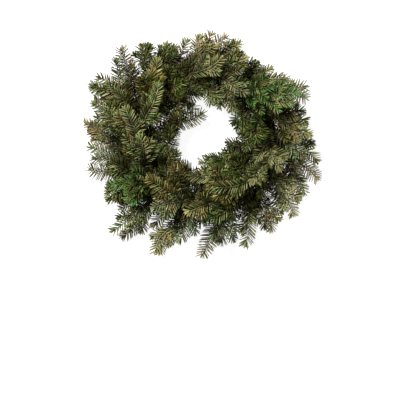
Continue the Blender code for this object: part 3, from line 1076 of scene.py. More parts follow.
@dataclass(frozen=True)
class NeedleBrush:
    """The needles along one stem or shoot.

    Each needle is a thin oval blade on a slightly curved line, widest before its middle and blunt
    at its tip. The underside is 1 at the section's corner that lies below. A pair of numbers has
    the limits of an even draw, or a mean and a spread where its name says so, and a spread alone
    is round 0.
    """

    half_width: float = 0.00104
    half_depth: float = 0.00036
    stations: tuple[float, ...] = (0.0, 0.22, 0.80, 1.0)
    fullness: tuple[float, ...] = (0.45, 1.00, 0.92, 0.30)
    sides: int = 4
    underside: tuple[float, ...] = (0.0, 0.0, 0.0, 1.0)
    step_spread: float = 0.07
    turn_spread: float = 6.0
    lean_spread: float = 4.0
    least_steps: int = 3
    closing_length: float = 0.012
    closing_lean: float = 0.30
    whorl_lean: Span = (4.0, 50.0)
    whorl_length: Span = (0.72, 0.95)
    whorl_place: Span = (0.96, 1.0)
    whorl_glow: float = 0.10
    end_length: float = 0.72
    swell_start: float = 0.05
    swell_part: float = 0.9
    swell_power: float = 0.6
    lengths: Span = (0.90, 1.08)
    facing_ahead: float = 0.4
    facing_up: float = 0.9
    facing_spread: float = 0.30
    tint_rise: float = 0.6
    tint_mean_spread: Span = (0.22, 0.34)
    curl_mean_spread: Span = (0.07, 0.05)
    sway_spread: float = 0.03
    widths: Span = (0.85, 1.12)
    tone_spread: float = 0.17
    tone_rise: float = 0.20
    tone_limits: Span = (0.02, 0.93)
    dry_part: float = 0.018

    def spray(self, habit: Habit, whole: float, bare: float, draw: Draw) -> Spray:
        """Places the needles of one stem.

        The rows stand at even steps along the stem, the share being (step + the row's own step +
        a small difference) / steps. A loose whorl of needles closes the tip, each turned by the
        golden angle from the one before.

        Args:
            habit: How the sprig carries its needles.
            whole: The stem's length.
            bare: The length without needles at the stem's start.
            draw: The seeded source of small differences.

        Returns:
            The placed needles.
        """
        steps = max(self.least_steps, round((whole - bare) / habit.pitch))
        rows = np.tile(np.array([astuple(rank) for rank in habit.ranks]), (steps, 1))
        step = np.repeat(np.arange(steps), len(habit.ranks))
        share = (step + rows[:, 3] + draw.normal(0.0, self.step_spread, len(rows))) / steps
        whorl = np.column_stack(
            [
                np.arange(habit.whorl) * GOLDEN_ANGLE,
                draw.uniform(*self.whorl_lean, habit.whorl),
                draw.uniform(*self.whorl_length, habit.whorl),
                np.zeros(habit.whorl),
                np.full(habit.whorl, self.whorl_glow),
            ]
        )
        share = np.append(share, draw.uniform(*self.whorl_place, habit.whorl))
        share = np.clip(share, 0.0, 1.0)
        angle, lean, length, _, glow = np.vstack([rows, whorl]).T
        return Spray(angle, lean, length, glow, share, bare + (whole - bare) * share, whole)

    def aims(self, spray: Spray, ahead: Array, draw: Draw) -> Array:
        """The directions of the needles.

        A needle's direction is the stem's times the cosine of its lean plus its outward vector
        times the sine. Near the tip the lean gets less.

        Args:
            spray: The placed needles.
            ahead: The stem's direction at each of them.
            draw: The seeded source of small differences.

        Returns:
            A unit vector for each needle.
        """
        left = unit(np.cross(UP, ahead))
        over = np.cross(ahead, left)
        turn = np.radians(spray.angle + draw.normal(0.0, self.turn_spread, spray.count))
        out = left * np.cos(turn)[:, None] + over * np.sin(turn)[:, None]
        past = (spray.marks - spray.whole + self.closing_length) / self.closing_length
        lean = spray.lean * (1.0 - self.closing_lean * smooth_step(past))
        lean = np.radians(lean + draw.normal(0.0, self.lean_spread, spray.count))[:, None]
        return unit(ahead * np.cos(lean) + out * np.sin(lean))

    def lay(
        self,
        surface: Surface,
        path: Array,
        habit: Habit,
        bare: float,
        tone: float,
        fresh: float,
        size: float,
        draw: Draw,
    ) -> int:
        """Lays the needles of one stem.

        A needle's line is root + L (d t + n c t^2 + w s t^2), where d is its direction, n the
        blade's upper side with the curl c, and w its width's direction with the sway s. The upper
        side is turned to the light and to the stem's tip. Needles are shorter at both ends of the
        stem, by the sine of their place to the power 0.6.

        Args:
            surface: Where the needles go.
            path: The stem's points.
            habit: How the sprig carries its needles.
            bare: The length without needles at the stem's start.
            tone: The sprig's own tone, from 0, shaded, to 1, sunny.
            fresh: How much of the sprig's own tint its needles show, 1 being usual.
            size: The needles' length as a share of the growth's usual one.
            draw: The seeded source of small differences.

        Returns:
            How many needles were laid.
        """
        spray = self.spray(habit, length_of(path), bare, draw)
        count, share = spray.count, spray.share
        root, ahead = spaced(path, spray.marks)
        needle = self.aims(spray, ahead, draw)
        half_turn = math.pi * np.clip(share * self.swell_part + self.swell_start, 0.0, 1.0)
        swell = np.sin(half_turn) ** self.swell_power
        shaped = self.end_length + (1.0 - self.end_length) * swell
        length = habit.length * size * spray.length * shaped * draw.uniform(*self.lengths, count)
        facing = ahead * self.facing_ahead + UP * self.facing_up
        facing = facing + draw.normal(0.0, self.facing_spread, (count, 3))
        upper = unit(facing - needle * np.sum(facing * needle, axis=1, keepdims=True))
        wide = np.cross(upper, needle)
        tint = smooth_step(share * self.tint_rise + draw.normal(*self.tint_mean_spread, count))
        curl = draw.normal(*self.curl_mean_spread, count) * length
        sway = draw.normal(0.0, self.sway_spread, count) * length
        reach = np.array(self.stations)
        line = (
            root[:, None]
            + needle[:, None] * (length[:, None] * reach)[..., None]
            + upper[:, None] * (curl[:, None] * reach**2)[..., None]
            + wide[:, None] * (sway[:, None] * reach**2)[..., None]
        )
        full = np.array(self.fullness) * draw.uniform(*self.widths, count)[:, None]
        widths, depths = full * self.half_width, full * self.half_depth
        blades = carried(line, wide[:, None], upper[:, None], widths, depths, self.sides)
        own = draw.normal(tone, self.tone_spread, count) + spray.glow
        own = np.clip(own + self.tone_rise * (share - 0.5), *self.tone_limits)
        own = np.where(draw.random(count) < self.dry_part, 1.0, own)
        surface.add(
            blades,
            carried_faces(count, len(reach), self.sides),
            0,
            tone=own[:, None, None],
            along=reach[None, :, None],
            under=np.array(self.underside)[None, None, :],
            tinted=np.minimum(tint * fresh, 1.0)[:, None, None],
            # Painted shade: how far the needle lies out of the wreath's own shade.
            depth=VAULT.light_at(line),
        )
        return count


@dataclass(frozen=True)
class Place:
    """Where one sprig is, and what it is like.

    First stands the turn of wire that binds it. Then come the clock angle, reach and height of its
    tip, and the clock direction in which it points. Fresh says how much of its own tint it shows,
    1 being usual, and lit how much sunnier it is than its neighbours.
    """

    turn: int
    clock: float
    reach: float
    height: float
    heading: float
    growth: Growth
    tint: Tint
    fresh: float = 1.0
    lit: float = 0.0


@dataclass(frozen=True)
class Row:
    """Sprigs whose bound ends lie at the same angle of the ring's section, and what they share.

    The tones are the limits of the sprigs' own tones, and the radii are the stem's at its base and
    its tip. Sprigs with a solid have its name, with _foliage after it. Hidden ones have plainer
    needles and the same light all round the wreath.
    """

    name: str
    angle: float
    places: tuple[Place, ...]
    tones: Span = (0.36, 0.57)
    radii: Span = (0.0014, 0.0008)
    has_solids: bool = True
    hidden: bool = False
    shade: float = 0.0


@dataclass
class Sprig:
    """One sprig of fir: stem, side shoots, buds and needles in one piece.

    The radii of a side shoot are shares of the stem's radius at its tip.
    """

    ring: RingForm
    row: Row
    number: int
    lit: float
    brush: NeedleBrush
    leafy_from: float = 0.12
    stem_pieces: int = 5
    stem_points: int = 22
    stem_fullness: float = 0.38
    leaving_rise: float = 0.16
    arriving_rise: float = 0.10
    stem_glow: float = 0.10
    shoot_points: int = 9
    shoot_bend: float = 0.7
    shoot_radii: Span = (1.15, 0.75)
    shoot_tones: Span = (-0.10, 0.10)
    shoot_bare: float = 0.002
    shoot_needles: float = 0.86
    wood_sides: int = 7
    scar_swelling: float = 0.08
    scar_turn: float = 34.0
    bud_stations: int = 6
    bud_sides: int = 6
    bud_ends: Span = (0.02, 0.98)
    bud_sunk: float = 0.25
    bud_narrowing: float = 0.35
    bud_radius: float = 0.30
    bud_spread: float = 0.75
    side_bud: float = 0.75
    stem_bud: float = 0.0046
    shoot_bud: float = 0.0036

    @property
    def place(self) -> Place:
        """Where the sprig is, and what it is like."""
        return self.row.places[self.number]

    @property
    def name(self) -> str:
        """The row's name and the sprig's number, which is also the name of its solid."""
        return f"{self.row.name}_{self.number + 1:02d}"

    def controls(self) -> tuple[Array, Sequence[Array]]:
        """The stem's route, as on its solid.

        It lies along the ring for the bound length, and then runs to the tip as a cubic curve,
        which leaves with a slight rise and arrives in the sprig's clock direction.

        Returns:
            The start of the bound stretch, and the four controls of the curve from its end.
        """
        ring, place = self.ring, self.place
        distance = ring.thickness / 2 + ring.gap + ring.stem_radius
        middle = ring.turn_clock(place.turn) + ring.slant_at(self.row.angle)
        half = math.degrees(ring.bound_length / 2 / ring.radius)
        first = ring.section_point(middle - half, self.row.angle, distance)
        start = ring.section_point(middle + half, self.row.angle, distance)
        tip = ring.clock_point(place.clock, place.reach, place.height)
        length = float(np.linalg.norm(tip - start))
        leaving = unit(unit(start - first) + UP * self.leaving_rise)
        arriving = unit(ring.clock_way(place.heading) + UP * self.arriving_rise)
        before = start + leaving * length * self.stem_fullness
        after = tip - arriving * length * self.stem_fullness
        return first, (start, before, after, tip)

    def leaves_at(self, corners: Array, share: float) -> tuple[Array, Array]:
        """Where a side shoot leaves the stem, as on its solid, whose stem has straight pieces.

        Args:
            corners: The corners of the stem's straight pieces.
            share: The share of the pieces that lies before the place.

        Returns:
            The point, and the unit direction of the piece that it lies on.
        """
        place = share * (len(corners) - 1)
        index = min(int(place), len(corners) - 2)
        step = corners[index + 1] - corners[index]
        return corners[index] + (place - index) * step, unit(step)

    def shoot_paths(self, controls: Sequence[Array], shoots: Sequence[Shoot]) -> Iterator[Array]:
        """The paths of side shoots, each leaving the stem at its angle and bending forward.

        Args:
            controls: The controls of the stem's curve.
            shoots: The shoots to place. In every other sprig of a row they change sides.

        Yields:
            The points of each shoot.
        """
        corners = cubic(controls, np.linspace(0.0, 1.0, self.stem_pieces + 1))
        shares = np.linspace(0.0, 1.0, self.shoot_points)
        mirror = 1 if self.number % 2 else -1
        for shoot in shoots:
            start, ahead = self.leaves_at(corners, shoot.share)
            across = unit(np.cross(ahead, UP)) * shoot.side * mirror
            over = np.cross(across, ahead)
            over = over if over[2] > 0 else -over
            roll = math.radians(shoot.roll)
            out = across * math.cos(roll) + over * math.sin(roll)
            turn = math.radians(shoot.angle)
            first = ahead * math.cos(turn) + out * math.sin(turn)
            turn *= self.shoot_bend
            after = ahead * math.cos(turn) + out * math.sin(turn)
            middle = start + first * shoot.length / 2
            end = middle + after * shoot.length / 2
            yield bent(start, middle, end, shares)

    def add_wood(self, surface: Surface, path: Array, radii: Span, tone: float) -> None:
        """Adds a tapering round stem.

        Its radius at share s is (a + (b - a) s) (1 + 0.08 sin(34 s)^8), a swelling at every growth
        scar, with a and b the radii at its ends.

        Args:
            surface: Where the stem goes.
            path: The stem's points.
            radii: The radii at its base and its tip.
            tone: The stem's own tone.
        """
        thick, thin = radii
        share = np.linspace(0.0, 1.0, len(path))
        scars = 1.0 + self.scar_swelling * np.sin(share * self.scar_turn) ** 8
        radius = (thick + (thin - thick) * share) * scars
        surface.add(
            round_tube(path, UP, radius, self.wood_sides),
            carried_faces(1, len(path), self.wood_sides),
            1,
            tone=tone,
            # Painted shade: how far the stem lies out of the wreath's own shade.
            depth=VAULT.light_at(path)[None],
        )

    def add_buds(self, surface: Surface, path: Array, size: float) -> None:
        """Adds the winter buds at a stem's tip: one straight on, and one at each side of it.

        A bud is an egg: its radius at share s is 0.30 of its length times the root of 4 s (1 - s),
        times 1 - 0.35 s, which draws it in towards the point. A quarter of it is sunk in the stem.

        Args:
            surface: Where the buds go.
            path: The stem's points.
            size: The length of the middle bud.
        """
        end, ahead = path[-1], unit(path[-1] - path[-2])
        share = np.linspace(*self.bud_ends, self.bud_stations)
        left = unit(np.cross(UP, ahead))
        over = np.cross(ahead, left)
        ways = unit(ahead + left * (self.bud_spread * np.array([0.0, 1.0, -1.0]))[:, None])
        lengths = size * np.array([1.0, self.side_bud, self.side_bud])
        line = end + ways[:, None] * (lengths[:, None] * (share - self.bud_sunk))[..., None]
        full = np.sqrt(4.0 * share * (1.0 - share)) * (1.0 - self.bud_narrowing * share)
        radius = lengths[:, None] * self.bud_radius * full
        across = unit(np.cross(over, ways))
        upper = np.cross(ways, across)
        buds = carried(line, across[:, None], upper[:, None], radius, radius, self.bud_sides)
        faces = carried_faces(len(ways), len(share), self.bud_sides)
        surface.add(buds, faces, 2, along=share[None, :, None])

    def build(self, dress: Dress, draw: Draw) -> tuple[bpy.types.Object, int]:
        """Builds the sprig.

        Args:
            dress: The finishes.
            draw: The seeded source of small differences.

        Returns:
            The piece, and how many needles it has.
        """
        surface = Surface(("tone", "along", "under", "tinted", "depth"))
        row, place, habit = self.row, self.place, HABITS[self.place.growth]
        first, controls = self.controls()
        stem = np.vstack([first, cubic(controls, np.linspace(0.0, 1.0, self.stem_points))])
        tone = float(draw.uniform(*row.tones)) + self.lit
        self.add_wood(surface, stem, row.radii, tone)
        bare = length_of(stem[:2]) + self.leafy_from * length_of(stem[1:])
        needles = self.brush.lay(
            surface, stem, habit, bare, tone + self.stem_glow, place.fresh, 1.0, draw
        )
        self.add_buds(surface, stem, self.stem_bud)
        radii = tuple(row.radii[1] * share for share in self.shoot_radii)
        for path in self.shoot_paths(controls, habit.main + habit.fine):
            own = tone - self.stem_glow + float(draw.uniform(*self.shoot_tones))
            self.add_wood(surface, path, radii, own)
            needles += self.brush.lay(
                surface, path, habit, self.shoot_bare, own, place.fresh, self.shoot_needles, draw
            )
            self.add_buds(surface, path, self.shoot_bud)
        surface.within(dress.low, dress.high)
        name = f"{self.name}_foliage" if row.has_solids else self.name
        piece = surface.piece(name, (dress.needles[place.tint], dress.bark, dress.bud))
        if row.has_solids:
            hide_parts(self.name)
        return piece, needles


FINE_RADII = (0.0010, 0.0007)

OUTER_LOW = Row(
    name="outer_low_sprig",
    angle=10.0,
    places=(
        Place(0, 41, 0.168, 0.026, 88, TUFT, OLIVE),
        Place(1, 68, 0.206, 0.020, 128, TWIG, OLIVE),
        Place(2, 80, 0.194, 0.016, 110, FAN, OLIVE),
        Place(3, 109, 0.226, 0.018, 133, TWIG, BROWN),
        Place(4, 120, 0.208, 0.014, 160, PLUME, OLIVE),
        Place(5, 143, 0.212, 0.016, 186, FAN, GOLDEN),
        Place(6, 180, 0.218, 0.018, 208, TWIG, BROWN),
        Place(7, 201, 0.227, 0.014, 185, FAN, OLIVE, 1.0, 0.10),
        Place(8, 219, 0.237, 0.014, 238, PLUME, BROWN),
        Place(9, 254, 0.219, 0.018, 285, TWIG, BROWN),
        Place(10, 276, 0.209, 0.018, 328, TUFT, BROWN),
        Place(11, 317, 0.224, 0.024, 352, TWIG, BROWN, 1.0, -0.10),
        Place(12, 341, 0.178, 0.016, 12, FAN, BLUISH),
        Place(13, 18, 0.184, 0.020, 62, PLUME, OLIVE),
    ),
)
OUTER_HIGH = Row(
    name="outer_high_sprig",
    angle=50.0,
    places=(
        Place(0, 27, 0.164, 0.042, 72, TUFT, GOLDEN, 0.5, 0.0),
        Place(1, 55, 0.188, 0.040, 104, PLUME, OLIVE, 1.0, 0.12),
        Place(2, 88, 0.196, 0.038, 104, FAN, GOLDEN, 1.0, 0.16),
        Place(3, 100, 0.190, 0.042, 138, PLUME, BLUISH),
        Place(4, 130, 0.219, 0.038, 172, FAN, OLIVE),
        Place(5, 158, 0.212, 0.038, 204, PLUME, OLIVE),
        Place(6, 170, 0.196, 0.036, 216, FAN, BLUISH),
        Place(7, 193, 0.194, 0.038, 222, PLUME, BLUISH),
        Place(8, 224, 0.240, 0.036, 242, FAN, OLIVE),
        Place(9, 240, 0.202, 0.042, 272, TUFT, OLIVE),
        Place(10, 287, 0.210, 0.042, 312, FAN, OLIVE, 1.0, -0.10),
        Place(11, 295, 0.227, 0.038, 292, PLUME, BLUISH, 0.4, -0.10),
        Place(12, 328, 0.198, 0.044, 34, TUFT, OLIVE),
        Place(13, 4, 0.191, 0.040, 24, FAN, GOLDEN, 0.3, 0.0),
    ),
)
INNER = Row(
    name="inner_sprig",
    angle=170.0,
    shade=0.10,
    places=(
        Place(0, 48, 0.080, 0.034, 132, PLUME, OLIVE),
        Place(1, 76, 0.078, 0.038, 160, TUFT, EMERALD, 0.5, -0.06),
        Place(2, 102, 0.084, 0.034, 186, PLUME, OLIVE, 1.0, -0.10),
        Place(3, 183, 0.048, 0.032, 262, TWIG, OLIVE),
        Place(4, 146, 0.080, 0.040, 222, PLUME, OLIVE, 1.0, -0.26),
        Place(5, 170, 0.080, 0.036, 254, FAN, GOLDEN, 0.3, 0.0),
        Place(6, 238, 0.072, 0.030, 318, TWIG, BROWN),
        Place(7, 222, 0.082, 0.042, 300, PLUME, GOLDEN, 0.3, -0.26),
        Place(8, 254, 0.080, 0.036, 332, FAN, OLIVE),
        Place(9, 340, 0.062, 0.038, 42, TWIG, OLIVE),
        Place(10, 354, 0.044, 0.024, 56, TWIG, BROWN),
        Place(11, 330, 0.082, 0.040, 40, PLUME, GOLDEN, 1.0, -0.18),
        Place(12, 356, 0.082, 0.034, 70, PLUME, OLIVE, 1.0, -0.30),
        Place(13, 22, 0.084, 0.036, 100, TUFT, OLIVE),
    ),
)
TOP = Row(
    name="top_sprig",
    angle=90.0,
    places=(
        Place(0, 42, 0.112, 0.068, 116, FAN, BLUISH, 0.6, -0.10),
        Place(1, 68, 0.172, 0.066, 92, FAN, EMERALD, 1.3, 0.04),
        Place(2, 92, 0.100, 0.070, 160, TUFT, EMERALD, 0.6, -0.12),
        Place(3, 112, 0.150, 0.068, 146, FAN, OLIVE),
        Place(4, 130, 0.122, 0.084, 196, TUFT, OLIVE, 1.0, -0.18),
        Place(5, 166, 0.112, 0.068, 246, FAN, GOLDEN, 0.3, -0.30),
        Place(6, 190, 0.140, 0.070, 246, PLUME, GOLDEN, 1.0, 0.06),
        Place(7, 214, 0.158, 0.064, 250, FAN, BLUISH, 0.7, 0.0),
        Place(8, 236, 0.164, 0.064, 262, TUFT, EMERALD, 0.9, 0.0),
        Place(9, 268, 0.116, 0.070, 338, FAN, OLIVE),
        Place(10, 284, 0.162, 0.068, 318, PLUME, OLIVE),
        Place(11, 321, 0.152, 0.070, 2, FAN, GOLDEN),
        Place(12, 340, 0.108, 0.068, 54, FAN, OLIVE, 1.0, -0.36),
        Place(13, 12, 0.146, 0.064, 46, PLUME, OLIVE, 1.0, 0.14),
    ),
)
HOLE_EDGE = Row(
    name="hole_edge_filler",
    angle=150.0,
    tones=(0.08, 0.28),
    radii=FINE_RADII,
    has_solids=False,
    places=(
        Place(2, 104, 0.070, 0.034, 222, TWIG, BROWN, 1.0, -0.20),
        Place(3, 128, 0.055, 0.034, 208, PLUME, OLIVE, 1.0, -0.18),
        Place(3, 150, 0.064, 0.030, 226, PLUME, OLIVE, 1.0, -0.22),
        Place(4, 174, 0.064, 0.036, 252, TUFT, OLIVE, 1.0, -0.18),
        Place(4, 167, 0.041, 0.036, 264, PLUME, EMERALD, 0.9, 0.14),
        Place(5, 196, 0.074, 0.038, 272, PLUME, OLIVE),
        Place(6, 218, 0.066, 0.038, 290, PLUME, BROWN, 1.0, -0.20),
        Place(7, 252, 0.086, 0.036, 330, PLUME, OLIVE),
        Place(8, 282, 0.062, 0.042, 352, TWIG, OLIVE),
        Place(9, 304, 0.064, 0.042, 16, TWIG, BROWN),
    ),
)
OUTER_EDGE = Row(
    name="outer_edge_filler",
    angle=20.0,
    tones=(0.28, 0.50),
    radii=FINE_RADII,
    has_solids=False,
    places=(
        Place(1, 63, 0.211, 0.024, 88, TWIG, OLIVE),
        Place(2, 92, 0.200, 0.022, 134, PLUME, OLIVE),
        Place(3, 101, 0.215, 0.026, 146, PLUME, OLIVE),
        Place(3, 118, 0.213, 0.022, 166, PLUME, OLIVE),
        Place(3, 128, 0.186, 0.024, 150, FAN, BROWN, 1.0, 0.16),
        Place(4, 150, 0.176, 0.020, 168, FAN, BROWN, 1.0, 0.14),
        Place(6, 203, 0.231, 0.018, 192, PLUME, GOLDEN, 1.0, 0.12),
        Place(6, 209, 0.186, 0.016, 206, PLUME, OLIVE),
        Place(7, 237, 0.210, 0.020, 246, TUFT, OLIVE),
        Place(8, 250, 0.188, 0.018, 266, FAN, BROWN),
        Place(8, 259, 0.206, 0.028, 272, PLUME, OLIVE, 1.0, -0.12),
        Place(8, 265, 0.211, 0.022, 286, PLUME, OLIVE, 1.0, -0.12),
        Place(9, 268, 0.176, 0.018, 292, FAN, OLIVE),
        Place(8, 277, 0.222, 0.020, 296, PLUME, BROWN, 1.0, -0.12),
        Place(9, 289, 0.212, 0.030, 300, PLUME, BROWN),
        Place(9, 300, 0.222, 0.036, 286, PLUME, BROWN),
        Place(9, 294, 0.224, 0.026, 268, TUFT, OLIVE),
        Place(10, 311, 0.216, 0.026, 352, PLUME, OLIVE),
        Place(10, 315, 0.194, 0.018, 342, FAN, BROWN),
        Place(12, 338, 0.184, 0.030, 8, TUFT, OLIVE),
        Place(12, 350, 0.182, 0.026, 22, PLUME, OLIVE),
        Place(13, 20, 0.188, 0.028, 66, PLUME, GOLDEN),
        Place(13, 12, 0.190, 0.036, 58, TWIG, BROWN, 1.0, 0.10),
    ),
)
FEATHERS = Row(
    name="feather_filler",
    angle=90.0,
    tones=(0.45, 0.60),
    radii=FINE_RADII,
    has_solids=False,
    places=(
        Place(1, 65, 0.190, 0.070, 88, PLUME, EMERALD, 1.5, -0.20),
        Place(1, 53, 0.152, 0.070, 82, FAN, EMERALD, 1.4, -0.22),
        Place(4, 164, 0.098, 0.076, 272, PLUME, OLIVE, 1.5, -0.24),
        Place(5, 177, 0.152, 0.058, 262, PLUME, EMERALD, 0.7, -0.42),
        Place(7, 231, 0.127, 0.072, 296, PLUME, GOLDEN, 1.0, -0.04),
        Place(8, 230, 0.178, 0.052, 226, TUFT, EMERALD, 2.2, 0.04),
        Place(8, 241, 0.186, 0.050, 250, PLUME, EMERALD, 2.2, 0.04),
        Place(9, 289, 0.151, 0.074, 330, PLUME, OLIVE, 1.0, 0.12),
        Place(10, 318, 0.124, 0.078, 8, PLUME, OLIVE, 1.0, 0.08),
        Place(11, 328, 0.162, 0.072, 8, PLUME, GOLDEN, 1.0, 0.08),
    ),
)


@dataclass(frozen=True)
class Filling:
    """Short hidden sprigs, one at each turn of wire, that close the gaps between the rows.

    The pairs are the limits that each number is drawn between. Onward is how many clock degrees
    the tip stands on from its turn, and the swing is how much further round the tip points.
    """

    name: str
    angle: float
    reaches: Span
    heights: Span
    swing: float
    onward: Span = (38.0, 54.0)
    swing_change: Span = (-16.0, 16.0)
    # Painted shade: the hidden sprigs get dark tones to stand for the shade deep between the rows.
    tones: Span = (0.05, 0.25)
    growths: tuple[Growth, ...] = (PLUME, FAN, TUFT)
    olive_part: float = 0.8

    def row(self, ring: RingForm, draw: Draw) -> Row:
        """Draws where the sprigs are and what they are like.

        Args:
            ring: The ring, which has the turns of wire.
            draw: The seeded source of small differences.

        Returns:
            The row of sprigs.
        """
        places = []
        for turn in range(ring.turns):
            clock = ring.turn_clock(turn) + draw.uniform(*self.onward)
            reach = draw.uniform(*self.reaches)
            height = draw.uniform(*self.heights)
            heading = clock + self.swing + draw.uniform(*self.swing_change)
            growth = self.growths[int(draw.integers(len(self.growths)))]
            tint = OLIVE if draw.random() < self.olive_part else GOLDEN
            places.append(Place(turn, clock, reach, height, heading, growth, tint))
        return Row(
            name=self.name,
            angle=self.angle,
            places=tuple(places),
            tones=self.tones,
            radii=FINE_RADII,
            has_solids=False,
            hidden=True,
        )


@dataclass
class Foliage:
    """All the sprigs: the four rows with solids, hidden ones between them, and the finer ones.

    Finer ones stand at the hole's edge and at the outer edge, and loose ones, the feathers, lie on
    top. The lit table says how much sunnier the fir is at even steps clockwise from the top.
    """

    ring: RingForm
    rows: tuple[Row, ...] = (OUTER_LOW, OUTER_HIGH, INNER, TOP)
    fillings: tuple[Filling, ...] = (
        Filling("low_filler", 30.0, (0.150, 0.178), (0.012, 0.022), 42.0),
        Filling("high_filler", 70.0, (0.125, 0.152), (0.030, 0.038), 42.0),
        Filling("inner_filler", 130.0, (0.088, 0.102), (0.026, 0.034), 96.0),
    )
    edges: tuple[Row, ...] = (HOLE_EDGE, OUTER_EDGE, FEATHERS)
    lit_round: tuple[float, ...] = (
        *(0.27, 0.02, 0.20, -0.18, 0.24, -0.14),
        *(0.12, 0.00, -0.22, 0.02, -0.28, -0.12),
    )
    brush: NeedleBrush = NeedleBrush()
    hidden_brush: NeedleBrush = NeedleBrush(stations=(0.0, 0.36, 1.0), fullness=(0.55, 1.0, 0.46))

    def lit_at(self, clock: float) -> float:
        """How much sunnier the fir is at a clock angle: straight between those of its table."""
        clocks = np.linspace(0.0, 360.0, len(self.lit_round), endpoint=False)
        return float(np.interp(clock, clocks, self.lit_round, period=360.0))

    def sprig(self, row: Row, number: int) -> Sprig:
        """One sprig of a row, not yet built.

        Args:
            row: The row.
            number: The sprig's place in the row, from 0.

        Returns:
            The sprig.
        """
        if row.hidden:
            return Sprig(self.ring, row, number, lit=0.0, brush=self.hidden_brush)
        place = row.places[number]
        lit = place.lit + self.lit_at(place.clock) - row.shade
        return Sprig(self.ring, row, number, lit=lit, brush=self.brush)

    def build(self, dress: Dress, draw: Draw) -> list[bpy.types.Object]:
        """Draws where the hidden sprigs are, and then builds every sprig.

        Args:
            dress: The finishes.
            draw: The seeded source of small differences.

        Returns:
            The pieces.
        """
        hidden = [filling.row(self.ring, draw) for filling in self.fillings]
        pieces = []
        for row in (*self.rows, *hidden, *self.edges):
            for number in range(len(row.places)):
                piece, needles = self.sprig(row, number).build(dress, draw)
                log.info("%s: %d needles", piece.name, needles)
                pieces.append(piece)
        return pieces


